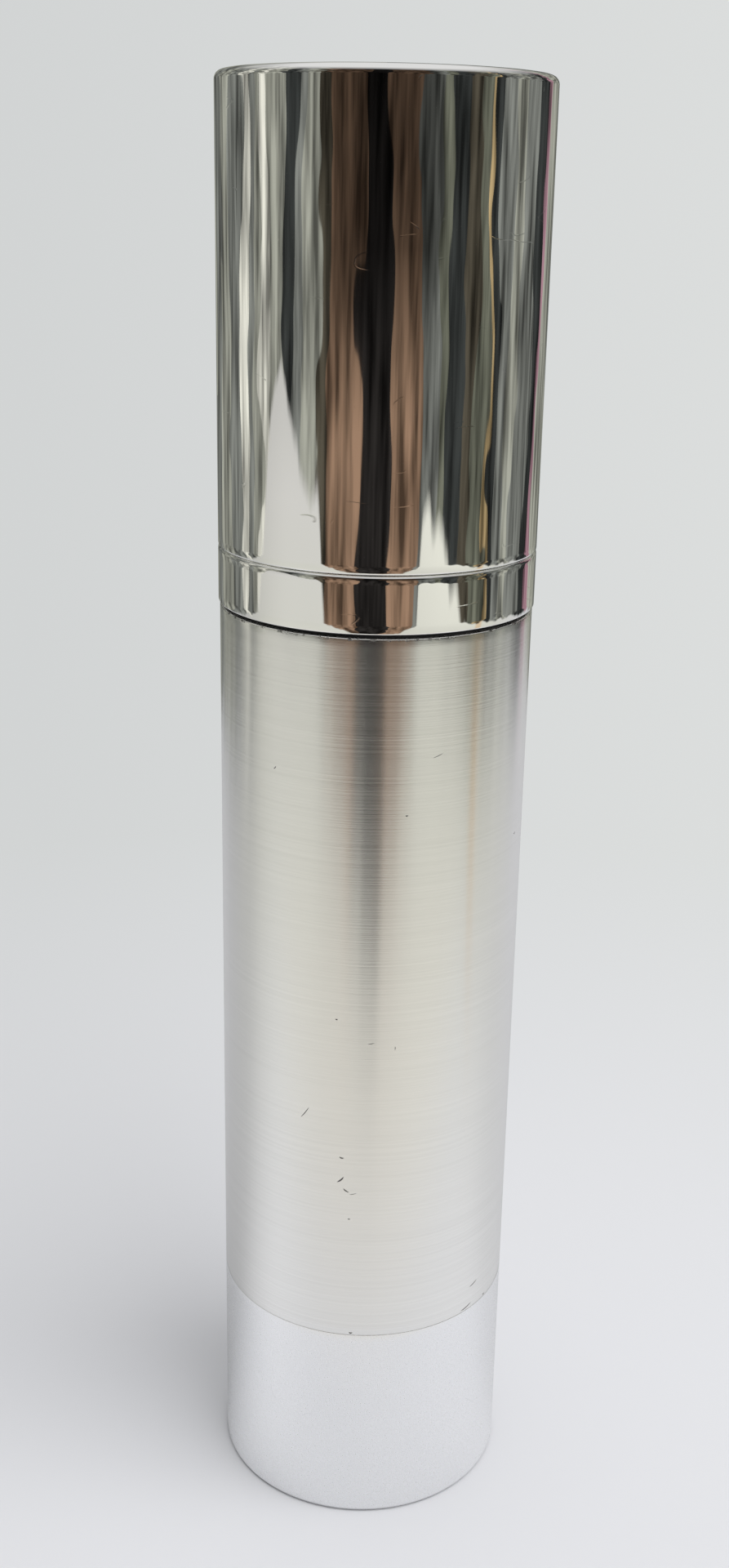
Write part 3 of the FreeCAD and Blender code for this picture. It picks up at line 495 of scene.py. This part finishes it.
def group_hairlines():
    """Sparse curved hairline marks, from the level lines of a noise."""
    inputs = {"Scale": 60.0, "Width": 0.004, "Sparse": 0.6}
    tree, place, given, wanted = new_group("hairline_marks", inputs, ["Mask"])
    lines = noise(tree, place, given["Scale"], detail=1.0, Distortion=HAIRLINE_CURL)
    level = apart(tree, lines, NOISE_MIDDLE)
    line = minus(tree, 1.0, over(tree, level, given["Width"]), clamp=True)
    patches = noise(tree, place, times(tree, given["Scale"], HAIRLINE_PATCHES), detail=0.0)
    shown = times(tree, minus(tree, patches, given["Sparse"]), HAIRLINE_FADE, clamp=True)
    tree.links.new(times(tree, line, shown), wanted["Mask"])
    return tree


def group_brushed():
    """Fine lines that run round the body."""
    inputs = {"Across": 5000.0, "Along": 50.0}
    tree, place, given, wanted = new_group("brushed_lines", inputs, ["Lines"])
    along = given["Along"]
    stretch = put(tree, "ShaderNodeCombineXYZ", {"X": along, "Y": along, "Z": given["Across"]})
    stretched = scaled(tree, place, stretch.outputs[0])
    lines = noise(tree, stretched, scale=1.0, detail=3.0, Roughness=0.7)
    tree.links.new(lines, wanted["Lines"])
    return tree


def group_grain():
    """Fine grain with slow patches, for metal, moulded plastic and foam."""
    inputs = {"Grain Scale": 6000.0, "Patch Scale": 120.0}
    tree, place, given, wanted = new_group("fine_grain", inputs, ["Grain", "Patches"])
    tree.links.new(noise(tree, place, given["Grain Scale"], detail=2.0), wanted["Grain"])
    tree.links.new(noise(tree, place, given["Patch Scale"], detail=3.0), wanted["Patches"])
    return tree


def group_nick():
    """One small curved nick on a round wall, at an angle round the axis and a height."""
    inputs = {"Angle": 0.0, "Height": 0.0, "Length": 0.0008, "Width": 0.00012, "Tilt": 0.0}
    tree, place, given, wanted = new_group("wall_nick", inputs, ["Mask"])
    parts = split(tree, place)
    across = times(tree, minus(tree, angle_round(tree, parts), given["Angle"]), sleeve_high[0])
    along = minus(tree, parts["Z"], given["Height"])
    turn_cos = maths(tree, "COSINE", given["Tilt"])
    turn_sin = maths(tree, "SINE", given["Tilt"])
    long_way = plus(tree, times(tree, across, turn_cos), times(tree, along, turn_sin))
    short_way = minus(tree, times(tree, along, turn_cos), times(tree, across, turn_sin))
    long_share = over(tree, long_way, given["Length"])
    bow = times(tree, squared(tree, long_share), given["Width"])
    short_share = over(tree, minus(tree, short_way, bow), given["Width"])
    far = plus(tree, squared(tree, long_share), squared(tree, short_share))
    mask = times(tree, minus(tree, 1.0, far), NICK_SHARPNESS, clamp=True)
    tree.links.new(mask, wanted["Mask"])
    return tree


HAIRLINES = group_hairlines()
BRUSHED = group_brushed()
GRAIN = group_grain()
NICK = group_nick()


# Finishes: tones, ranges of roughness, and depths in metres

BRIGHT_TONE = (0.875, 0.872, 0.86, 1)
BRIGHT_HAZE = 1.03
BRIGHT_ROUGHNESS = (0.025, 0.05)
HAZE_RANGE = (0.4, 0.7)
SCRATCH_STRETCH = (1.0, 1.0, 3.0)
SCRATCH_ROUGHNESS = 0.14
SCRATCH_DEPTH = 0.000002

BRUSHED_TONES = ((0.833, 0.828, 0.807, 1), (0.902, 0.897, 0.876, 1))
BRUSHED_ROUGHNESS = (0.20, 0.23)
BRUSHED_DEPTH = 0.0000055
BRUSHED_RANGE = (0.38, 0.62)
BRUSHED_ALONG = 14.0
FINE_SHARE = 0.6
NICK_TONE = (0.06, 0.055, 0.05, 1)
NICK_STRENGTH = 0.8
NICK_ROUGHNESS = 0.4
NICK_DEPTH = 0.00003
CUT_EDGE_LOW = 0.00022
CUT_EDGE_HIGH = 0.00008
SPECK_RANGE = (0.54, 0.64)

SATIN_TONES = ((0.885, 0.89, 0.90, 1), (0.93, 0.93, 0.935, 1))
SATIN_ROUGHNESS = (0.22, 0.29)
SATIN_DEPTH = 0.000012
SATIN_SCRATCHES = 0.1
# Tone of the scratches, also used for the painted contact shadow at the base's foot; then that
# painted shadow's strength and the heights over which it fades out
SCRATCH_AND_SHADE_TONE = (0.16, 0.16, 0.17, 1)
FOOT_SHADE_STRENGTH = 0.75
FOOT_SHADE_HEIGHTS = (0.00012, 0.00042)

MOULDED_UNEVEN = 0.06
MOULDED_DEPTH = 0.000012

STEEL_TONES = ((0.55, 0.56, 0.57, 1), (0.68, 0.69, 0.70, 1))
STEEL_SMOOTHER = 0.05
STEEL_ROUGHER = 0.08
STEEL_DEPTH = 0.000006

# Nicks on the sleeve: degrees from the front, height, half length, half width, degrees of tilt
SLEEVE_NICKS = [
    (-8.9, 0.0375, 0.00045, 0.000075, 45),
    (-8.8, 0.0398, 0.00022, 0.000070, -10),
    (-7.0, 0.0364, 0.00032, 0.000065, -35),
    (-4.2, 0.0361, 0.00035, 0.000030, 15),
    (-5.6, 0.0334, 0.00012, 0.000050, 0),
    (-23.3, 0.0439, 0.00075, 0.000040, 56),
    (-11.4, 0.0538, 0.00012, 0.000060, 0),
    (1.5, 0.0516, 0.00030, 0.000030, 10),
    (10.4, 0.0511, 0.00020, 0.000035, 90),
    (50.5, 0.0232, 0.00060, 0.000055, 14),
    (68.2, 0.0687, 0.00016, 0.000060, 20),
    (-37.0, 0.0765, 0.00022, 0.000040, 50),
    (12.4, 0.0732, 0.00012, 0.000060, 0),
    (23.4, 0.0784, 0.00050, 0.000028, 20),
    (-4.2, 0.0209, 0.00018, 0.000080, 0),
    (46.5, 0.0210, 0.00075, 0.000060, 12),
    (58.7, 0.0209, 0.00018, 0.000070, 0),
]


def new_material(name, **plain):
    """A material with its shader and Object coordinates. Plain values go on the shader."""
    material = bpy.data.materials.new(name)
    material.use_nodes = True
    tree = material.node_tree
    shader = tree.nodes["Principled BSDF"]
    for socket, value in plain.items():
        shader.inputs[socket.replace("_", " ")].default_value = value
    coordinates = put(tree, "ShaderNodeTexCoord").outputs["Object"]
    return material, tree, shader.inputs, coordinates


def place_group(tree, group, coordinates, **values):
    inputs = {name.replace("_", " "): value for name, value in values.items()}
    inputs["Coordinates"] = coordinates
    return put(tree, "ShaderNodeGroup", inputs, node_tree=group).outputs


def connect(tree, sockets, tone, roughness, normal):
    tree.links.new(tone, sockets["Base Color"])
    tree.links.new(roughness, sockets["Roughness"])
    tree.links.new(normal, sockets["Normal"])


def bright_finish(name, waviness, wave_scale):
    """Mirror-bright metal: slow waves from forming, faint hairline scratches, a little haze."""
    material, tree, sockets, place = new_material(name, Metallic=1.0)
    waves = noise(tree, place, wave_scale, detail=1.0)
    stretched = scaled(tree, place, SCRATCH_STRETCH)
    marks = place_group(tree, HAIRLINES, stretched, Scale=120.0, Width=0.008, Sparse=0.69)["Mask"]
    haze = place_group(tree, GRAIN, place, Patch_Scale=150.0)["Patches"]
    tone = blend_colour(tree, haze, BRIGHT_TONE, tone_times(BRIGHT_TONE, BRIGHT_HAZE))
    rough = spread(tree, haze, *HAZE_RANGE, *BRIGHT_ROUGHNESS)
    rough = plus(tree, rough, times(tree, marks, SCRATCH_ROUGHNESS))
    wavy = bump(tree, waves, waviness)
    connect(tree, sockets, tone, rough, bump(tree, times(tree, marks, -1.0), SCRATCH_DEPTH, wavy))
    return material


def nick_marks(tree, place):
    marks = 0.0
    for degrees, height, length, width, tilt in SLEEVE_NICKS:
        nick = place_group(
            tree, NICK, place, Angle=math.radians(degrees), Height=height, Length=length,
            Width=width, Tilt=math.radians(tilt))
        marks = larger(tree, nick["Mask"], marks)
    return marks


def cut_edge_marks(tree, place):
    """Specks along the sleeve's cut upper edge."""
    top = sleeve_high[2]
    edge = rising(tree, split(tree, place)["Z"], top - CUT_EDGE_LOW, top - CUT_EDGE_HIGH)
    speckle = place_group(tree, GRAIN, place, Grain_Scale=1600.0)["Grain"]
    return times(tree, edge, rising(tree, speckle, *SPECK_RANGE))


def brushed_finish():
    """Metal brushed round the body, with a rough cut edge at the top and a few dark nicks."""
    material, tree, sockets, place = new_material(
        "sleeve_brushed", Metallic=1.0, Anisotropic=0.8, Anisotropic_Rotation=0.25)
    fine = place_group(tree, BRUSHED, place, Across=5000.0, Along=BRUSHED_ALONG)["Lines"]
    broad = place_group(tree, BRUSHED, place, Across=2700.0, Along=BRUSHED_ALONG)["Lines"]
    lines = plus(tree, times(tree, fine, FINE_SHARE), times(tree, broad, 1 - FINE_SHARE))
    tone = blend_colour(tree, rising(tree, lines, *BRUSHED_RANGE), *BRUSHED_TONES)
    marks = larger(tree, nick_marks(tree, place), cut_edge_marks(tree, place))
    marks = times(tree, marks, NICK_STRENGTH)
    tone = blend_colour(tree, marks, tone, NICK_TONE)
    rough = spread(tree, lines, *NOISE_RANGE, *BRUSHED_ROUGHNESS)
    rough = plus(tree, rough, times(tree, marks, NICK_ROUGHNESS))
    tangent = put(tree, "ShaderNodeTangent", direction_type="RADIAL", axis="Z")
    tree.links.new(tangent.outputs[0], sockets["Tangent"])
    lined = bump(tree, fine, BRUSHED_DEPTH)
    connect(tree, sockets, tone, rough, bump(tree, times(tree, marks, -1.0), NICK_DEPTH, lined))
    return material


def grained(tree, place, tones, roughness, depth, **scales):
    """Tone in slow patches, with gloss and relief from a fine grain."""
    skin = place_group(tree, GRAIN, place, **scales)
    tone = blend_colour(tree, skin["Patches"], *tones)
    rough = spread(tree, skin["Grain"], *NOISE_RANGE, *roughness)
    return tone, rough, bump(tree, skin["Grain"], depth)


def satin_finish():
    """Fine blasted metal with a clear anodised skin and a few scratches, with painted contact
    shadow darkening the foot.
    """
    material, tree, sockets, place = new_material("base_satin", Metallic=1.0)
    tone, rough, normal = grained(
        tree, place, SATIN_TONES, SATIN_ROUGHNESS, SATIN_DEPTH,
        Grain_Scale=7000.0, Patch_Scale=90.0)
    marks = place_group(tree, HAIRLINES, place, Scale=120.0, Width=0.005, Sparse=0.66)["Mask"]
    # Painted contact shadow: the foot is darkened from the floor up to about 0.4 mm, where the
    # base meets the floor
    foot = spread(tree, split(tree, place)["Z"], *FOOT_SHADE_HEIGHTS, FOOT_SHADE_STRENGTH, 0.0)
    scratches_and_foot_shade = larger(tree, times(tree, marks, SATIN_SCRATCHES), foot)
    connect(tree, sockets, blend_colour(tree, scratches_and_foot_shade, tone, SCRATCH_AND_SHADE_TONE), rough, normal)
    return material


def moulded_finish(name, dark, light, roughness, **plain):
    """Moulded plastic or foam: slow tone patches, fine grain and slightly uneven gloss."""
    material, tree, sockets, place = new_material(name, **plain)
    gloss = (roughness - MOULDED_UNEVEN, roughness + MOULDED_UNEVEN)
    looks = grained(
        tree, place, (dark, light), gloss, MOULDED_DEPTH, Grain_Scale=3500.0, Patch_Scale=140.0)
    connect(tree, sockets, *looks)
    return material


def steel_finish(name, roughness):
    """Bright steel with uneven gloss and tone."""
    material, tree, sockets, place = new_material(name, Metallic=1.0)
    gloss = (roughness - STEEL_SMOOTHER, roughness + STEEL_ROUGHER)
    looks = grained(
        tree, place, STEEL_TONES, gloss, STEEL_DEPTH, Grain_Scale=9000.0, Patch_Scale=400.0)
    connect(tree, sockets, *looks)
    return material


cap_bright = bright_finish("overcap_bright", waviness=0.000010, wave_scale=70.0)
collar_bright = bright_finish("collar_bright", waviness=0.000022, wave_scale=130.0)
button_bright = bright_finish("button_bright", waviness=0.000008, wave_scale=90.0)
sleeve_brushed = brushed_finish()
base_satin = satin_finish()
spring_steel = steel_finish("spring_steel", roughness=0.28)
ball_steel = steel_finish("ball_steel", roughness=0.14)
natural_plastic = moulded_finish(
    "natural_plastic", dark=(0.74, 0.75, 0.73, 1), light=(0.82, 0.83, 0.81, 1), roughness=0.42,
    Subsurface_Weight=0.15, Subsurface_Scale=0.002)
white_plastic = moulded_finish(
    "white_plastic", dark=(0.80, 0.80, 0.79, 1), light=(0.86, 0.86, 0.85, 1), roughness=0.26)
soft_plastic = moulded_finish(
    "soft_plastic", dark=(0.76, 0.76, 0.74, 1), light=(0.83, 0.83, 0.81, 1), roughness=0.5)
dark_plastic = moulded_finish(
    "dark_plastic", dark=(0.012, 0.012, 0.013, 1), light=(0.03, 0.03, 0.032, 1), roughness=0.48)
gasket_foam = moulded_finish(
    "gasket_foam", dark=(0.66, 0.66, 0.63, 1), light=(0.76, 0.76, 0.73, 1), roughness=0.8)

NODE_FINISHES = {
    "base_plug": natural_plastic,
    "reservoir": natural_plastic,
    "follower_piston": soft_plastic,
    "closure_ring": dark_plastic,
    "neck_gasket": gasket_foam,
    "pump_housing": natural_plastic,
    "ball_cage": natural_plastic,
    "inlet_ball": ball_steel,
    "stem_guide": white_plastic,
    "pump_piston": soft_plastic,
    "stem": white_plastic,
    "valve_plug": white_plastic,
    "return_spring": spring_steel,
    "actuator_shell": button_bright,
    "actuator_core": white_plastic,
    "nozzle_insert": white_plastic,
    "overcap_shell": cap_bright,
    "overcap_liner": natural_plastic,
    "collar_shell": collar_bright,
    "outer_sleeve": sleeve_brushed,
    "base_shell": base_satin,
}
for name, material in NODE_FINISHES.items():
    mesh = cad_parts[name].data
    mesh.materials.clear()
    mesh.materials.append(material)

model_overcap(cap_bright)
model_collar(collar_bright)
model_sleeve(sleeve_brushed)
model_base(base_satin)
model_button(button_bright)
model_nozzle(white_plastic)
model_spring(spring_steel)
model_ball(ball_steel)


# Stage: a pale floor that fades into a pale room, with cards round it for the metal to mirror

# The room: shares of a full turn, and heights as the rise of a line of sight
HALF_TURN = 0.5
BACKDROP_LEFT = (0.645, 0.66, 0.66, 1)
BACKDROP_RIGHT = (0.71, 0.725, 0.72, 1)
BACKDROP_SIDES = (-0.2, 0.2)
ROOM_LIGHT = 0.527
CARD_LEAN = (-0.02, 0.02)
LEAN_RANGE = (0.25, 0.75)
LEAN_STRETCH = (3.0, 3.0, 8.0)
STREAK_SHADES = (0.3, 1.65)
STREAK_RANGE = (0.34, 0.66)
STREAK_STRETCH = (1.0, 1.0, 0.9)
STREAK_SCALE = 12.0
FRONT_SIDES = (0.09, 0.11)
FRONT_HEIGHTS = (-0.13, -0.03)
FRONT_DIMMING = 0.75
CEILING_HEIGHTS = (0.45, 0.85)
CEILING_SHADE = 0.8

# The floor: tones, and where each begins and is full, in metres or in shares of a full turn
FLOOR_REACH = 3.0
FLOOR_SEGMENTS = 96
FLOOR_TONE = (0.865, 0.872, 0.905, 1)
CLOUD_SCALE = 7.0
CLOUD_SHADE = 0.97
WARM_FLOOR_TONE = (0.91, 0.875, 0.81, 1)
WARM_FLOOR_AHEAD = (0.035, 0.09)
BACK_FLOOR_TONE = (0.735, 0.74, 0.765, 1)
BACK_FLOOR_SIDES = (0.24, 0.37)
FAR_FLOOR_TONE = (0.80, 0.80, 0.73, 1)
FAR_FLOOR_REACH = (0.05, 0.22)
EDGE_FLOOR_TONE = (0.92, 0.91, 0.87, 1)
EDGE_FLOOR_REACH = (0.3, 0.6)
RIGHT_FLOOR_TONE = (0.67, 0.67, 0.60, 1)
RIGHT_FLOOR_ACROSS = (-0.05, 0.08)
STRIP_FLOOR_TONE = (0.66, 0.52, 0.36, 1)
STRIP_DEGREES = 78
STRIP_SIDES = (0.004, 0.010)
STRIP_REACH = (0.12, 0.22)
FADE_REACH = (0.03, 0.18)
HORIZON_EASE = 0.15
EDGE_UNEVEN = 0.09
EDGE_UNEVEN_SCALE = 9.0
EDGE_SHARPNESS = 8.0

# The lamp, in metres and watts
SOFTBOX_PLACE = (0.55, -0.42, 0.66)
SOFTBOX_AIM = (0, 0, 0.06)
SOFTBOX_SIZE = 1.1
SOFTBOX_POWER = 7.6

# The camera: degrees, sleeve radii, pixels, millimetres of sensor and metres of sight
CAMERA_PITCH = 18.9096
CAMERA_ROLL = 1.0695
CAMERA_YAW = -0.2749
CAMERA_BACK = 10.9315
CAMERA_HEIGHT = 8.8404
FOCAL_PIXELS = 2123.08
FRAME_PIXELS = 1920
SENSOR = 36
NEAR_SIGHT = 0.01
FAR_SIGHT = 20

# Degrees round the floor from the camera's side, and how bright the metal mirrors it there
FLOOR_SHADES = [
    (-180, 0.90), (-150, 0.93), (-135, 0.90), (-108, 0.81), (-90, 0.94), (-69, 1.08),
    (-50, 1.0), (-31, 0.95), (0, 0.94), (38, 0.98), (66, 1.02), (84, 1.0), (107, 0.93),
    (131, 0.98), (150, 0.95), (180, 0.90),
]
BRIGHTEST_SHADE = 1.1

# Degrees round the floor, and how far the mirrored floor reaches there, in metres
FLOOR_EDGES = [
    (-180, 0.24), (-150, 0.26), (-124, 0.25), (-110, 0.26), (-100, 0.29), (-92, 0.34),
    (-86, 0.47), (-80, 0.78), (-75, 1.12), (-71, 1.18), (-66, 0.88), (-58, 0.70), (-48, 0.60),
    (-40, 0.54), (-34, 0.30), (-24, 0.235), (-12, 0.18), (0, 0.142), (8, 0.148), (18, 0.215),
    (27, 0.30), (30, 0.46), (34, 0.58), (41, 0.50), (48, 0.45), (57, 0.41), (66, 0.31),
    (90, 0.28), (120, 0.30), (145, 0.33), (165, 0.27), (180, 0.24),
]

# Cards that stand round the room, in a few plain tones
BLACK_CARD = (0.020, 0.018, 0.017, 1)
SHADE_CARD = (0.032, 0.035, 0.034, 1)
BROWN_CARD = (0.23, 0.145, 0.095, 1)
EARTH_CARD = (0.065, 0.057, 0.042, 1)
MOSS_CARD = (0.125, 0.13, 0.10, 1)
SLATE_CARD = (0.165, 0.172, 0.158, 1)
STONE_CARD = (0.275, 0.28, 0.24, 1)
STRAW_CARD = (0.42, 0.31, 0.16, 1)
ROSE_CARD = (0.30, 0.17, 0.205, 1)
PALE_CARD = (0.58, 0.575, 0.51, 1)

# Where each card starts, in degrees round the room from the camera's side
ROOM_CARDS = [
    (-180, STONE_CARD), (-164, SLATE_CARD), (-146, STONE_CARD), (-128, SLATE_CARD),
    (-112, PALE_CARD), (-104, SLATE_CARD), (-97, STONE_CARD), (-91, PALE_CARD),
    (-83, STONE_CARD), (-73, SHADE_CARD), (-62, SLATE_CARD), (-54, STONE_CARD),
    (-44, EARTH_CARD), (-37, BROWN_CARD), (-13, BLACK_CARD), (5, BROWN_CARD),
    (28, SLATE_CARD), (38, MOSS_CARD), (46, SHADE_CARD), (58, EARTH_CARD),
    (68, MOSS_CARD), (76, STRAW_CARD), (80, SHADE_CARD), (87, SLATE_CARD),
    (98, STONE_CARD), (108, SLATE_CARD), (122, SHADE_CARD), (135, ROSE_CARD),
    (142, STONE_CARD), (162, SLATE_CARD),
]


def grey(value):
    return (value, value, value, 1)


def turn_share(degrees):
    return (degrees + 180) / 360


def round_share(tree, vector):
    """The share of a full turn round the vertical, from behind, and the vector's parts."""
    parts = split(tree, vector)
    turns = over(tree, angle_round(tree, parts), 2 * math.pi)
    return plus(tree, turns, HALF_TURN), parts


def backdrop_tone(tree, across):
    """The backdrop is a little lighter on the lamp's side."""
    return blend_colour(tree, rising(tree, across, *BACKDROP_SIDES), BACKDROP_LEFT, BACKDROP_RIGHT)


def background(tree, tone):
    return put(tree, "ShaderNodeBackground", {"Color": tone, "Strength": 1.0}).outputs[0]


def mix_shaders(tree, share, first, second):
    return put(tree, "ShaderNodeMixShader", {0: share, 1: first, 2: second}).outputs[0]


def mirrored_room(tree, way):
    """Tall cards that lean a little, with upright streaks, darker in front, and a pale ceiling."""
    share, parts = round_share(tree, way)
    lean = noise(tree, scaled(tree, way, LEAN_STRETCH), scale=1.0, detail=2.0)
    leaning = plus(tree, share, spread(tree, lean, *LEAN_RANGE, *CARD_LEAN))
    stops = [(turn_share(turn), tone) for turn, tone in ROOM_CARDS]
    cards = ramp(tree, leaning, stops, "CONSTANT")
    streaks = noise(tree, scaled(tree, way, STREAK_STRETCH), STREAK_SCALE, detail=3.0)
    streaks = spread(tree, streaks, *STREAK_RANGE, *STREAK_SHADES)
    front = spread(tree, apart(tree, share, HALF_TURN), *FRONT_SIDES, FRONT_DIMMING, 0.0)
    dimmed = times(tree, front, rising(tree, parts["Z"], *FRONT_HEIGHTS))
    shade = times(tree, streaks, minus(tree, 1.0, dimmed))
    upward = rising(tree, parts["Z"], *CEILING_HEIGHTS)
    return blend_colour(tree, upward, shaded(tree, cards, shade), grey(CEILING_SHADE))


def light_room():
    """Even light for the surfaces, a pale backdrop for the camera, and cards for the metal."""
    world = bpy.data.worlds.new("studio_room")
    bpy.context.scene.world = world
    world.use_nodes = True
    tree = world.node_tree
    tree.nodes.clear()
    way = put(tree, "ShaderNodeTexCoord").outputs["Generated"]
    plain = background(tree, grey(ROOM_LIGHT))
    mirrored = background(tree, mirrored_room(tree, way))
    seen = background(tree, backdrop_tone(tree, split(tree, way)["X"]))
    rays = put(tree, "ShaderNodeLightPath").outputs
    unseen = mix_shaders(tree, rays["Is Glossy Ray"], plain, mirrored)
    whole = mix_shaders(tree, rays["Is Camera Ray"], unseen, seen)
    put(tree, "ShaderNodeOutputWorld", {"Surface": whole})


def floor_tone(tree, place, far, mirrored):
    """Cloudy pale paper. In the metal it is warm ahead, grey behind, and yellower outwards."""
    share, parts = round_share(tree, place)
    cloud = noise(tree, place, CLOUD_SCALE, detail=3.0)
    tone = blend_colour(tree, cloud, FLOOR_TONE, tone_times(FLOOR_TONE, CLOUD_SHADE))
    ahead = rising(tree, times(tree, parts["Y"], -1.0), *WARM_FLOOR_AHEAD)
    tone = blend_colour(tree, times(tree, ahead, mirrored), tone, WARM_FLOOR_TONE)
    behind = rising(tree, apart(tree, share, HALF_TURN), *BACK_FLOOR_SIDES)
    tone = blend_colour(tree, times(tree, behind, mirrored), tone, BACK_FLOOR_TONE)
    away = rising(tree, far, *EDGE_FLOOR_REACH)
    away = blend_colour(tree, away, FAR_FLOOR_TONE, EDGE_FLOOR_TONE)
    rightward = rising(tree, parts["X"], *RIGHT_FLOOR_ACROSS)
    away = blend_colour(tree, rightward, away, RIGHT_FLOOR_TONE)
    away = blend_colour(tree, behind, away, BACK_FLOOR_TONE)
    outward = rising(tree, far, *FAR_FLOOR_REACH)
    tone = blend_colour(tree, times(tree, outward, mirrored), tone, away)
    strip = falling(tree, apart(tree, share, turn_share(STRIP_DEGREES)), *STRIP_SIDES)
    strip = times(tree, strip, rising(tree, far, *STRIP_REACH))
    tone = blend_colour(tree, times(tree, strip, mirrored), tone, STRIP_FLOOR_TONE)
    stops = [(turn_share(turn), grey(shade / BRIGHTEST_SHADE)) for turn, shade in FLOOR_SHADES]
    shade = times(tree, ramp(tree, share, stops, "B_SPLINE"), BRIGHTEST_SHADE)
    shade = plus(tree, 1.0, times(tree, minus(tree, shade, 1.0), mirrored))
    return shaded(tree, tone, shade)


def past_edge(tree, place, far):
    """From 0 at the floor's uneven edge to 1 a little past it."""
    share = round_share(tree, place)[0]
    stops = [(turn_share(turn), grey(reach / FLOOR_REACH)) for turn, reach in FLOOR_EDGES]
    edge = ramp(tree, share, stops, "B_SPLINE")
    outline = put(tree, "ShaderNodeVectorMath", {0: place}, operation="NORMALIZE").outputs[0]
    uneven = noise(tree, outline, EDGE_UNEVEN_SCALE, detail=1.0)
    least, most = FLOOR_REACH * (1 - EDGE_UNEVEN), FLOOR_REACH * (1 + EDGE_UNEVEN)
    reach = times(tree, edge, spread(tree, uneven, *NOISE_RANGE, least, most))
    return times(tree, minus(tree, over(tree, far, reach), 1.0), EDGE_SHARPNESS, clamp=True)


def floor_finish():
    """Pale paper that fades into the room far off and, in the metal, ends at its edge."""
    material = bpy.data.materials.new("pale_floor")
    material.use_nodes = True
    tree = material.node_tree
    tree.nodes.clear()
    place = put(tree, "ShaderNodeTexCoord").outputs["Object"]
    far = put(tree, "ShaderNodeVectorMath", {0: place}, operation="LENGTH").outputs["Value"]
    rays = put(tree, "ShaderNodeLightPath").outputs
    tone = floor_tone(tree, place, far, rays["Is Glossy Ray"])
    paper = put(tree, "ShaderNodeBsdfDiffuse", {"Color": tone}).outputs[0]
    across = over(tree, split(tree, place)["X"], plus(tree, far, HORIZON_EASE))
    far_tone = backdrop_tone(tree, across)
    backdrop = put(tree, "ShaderNodeEmission", {"Color": far_tone, "Strength": 1.0}).outputs[0]
    faded = times(tree, rising(tree, far, *FADE_REACH), rays["Is Camera Ray"])
    seen = mix_shaders(tree, faded, paper, backdrop)
    ended = times(tree, past_edge(tree, place, far), rays["Is Glossy Ray"])
    nothing = put(tree, "ShaderNodeBsdfTransparent").outputs[0]
    whole = mix_shaders(tree, ended, seen, nothing)
    put(tree, "ShaderNodeOutputMaterial", {"Surface": whole})
    return material


def lay_floor():
    bpy.ops.object.select_all(action="DESELECT")
    bpy.ops.mesh.primitive_circle_add(
        vertices=FLOOR_SEGMENTS, radius=FLOOR_REACH, fill_type="NGON")
    floor = bpy.context.object
    floor.name = "pale_floor"
    floor.data.materials.append(floor_finish())


def hang_softbox():
    lamp = bpy.data.lights.new("softbox_right", "AREA")
    lamp.shape = "SQUARE"
    lamp.size = SOFTBOX_SIZE
    lamp.energy = SOFTBOX_POWER
    softbox = bpy.data.objects.new("softbox_right", lamp)
    bpy.context.scene.collection.objects.link(softbox)
    softbox.location = SOFTBOX_PLACE
    softbox.visible_glossy = False
    aim = Vector(SOFTBOX_AIM) - Vector(SOFTBOX_PLACE)
    softbox.rotation_euler = aim.to_track_quat("-Z", "Y").to_euler()


def set_camera():
    """The photograph's view, found from the ellipses and side lines of the cylinder."""
    pitch, roll = math.radians(CAMERA_PITCH), math.radians(CAMERA_ROLL)
    yaw = math.radians(CAMERA_YAW)
    level = Vector((math.cos(yaw), -math.sin(yaw), 0))
    forward = Vector((math.sin(yaw), math.cos(yaw), 0))
    ahead = forward * math.cos(pitch) - Vector((0, 0, math.sin(pitch)))
    upright = level.cross(ahead)
    right = level * math.cos(roll) + upright * math.sin(roll)
    up = upright * math.cos(roll) - level * math.sin(roll)
    lens = bpy.data.cameras.new("view")
    lens.sensor_width = SENSOR
    lens.lens = FOCAL_PIXELS / FRAME_PIXELS * SENSOR
    lens.clip_start = NEAR_SIGHT
    lens.clip_end = FAR_SIGHT
    camera = bpy.data.objects.new("view", lens)
    bpy.context.scene.collection.objects.link(camera)
    turn = Matrix((right, up, -ahead)).transposed().to_4x4()
    place = Vector((0, -CAMERA_BACK, CAMERA_HEIGHT)) * sleeve_high[0]
    camera.matrix_world = Matrix.Translation(place) @ turn
    bpy.context.scene.camera = camera


bpy.context.scene.view_settings.view_transform = "Standard"
light_room()
lay_floor()
hang_softbox()
set_camera()
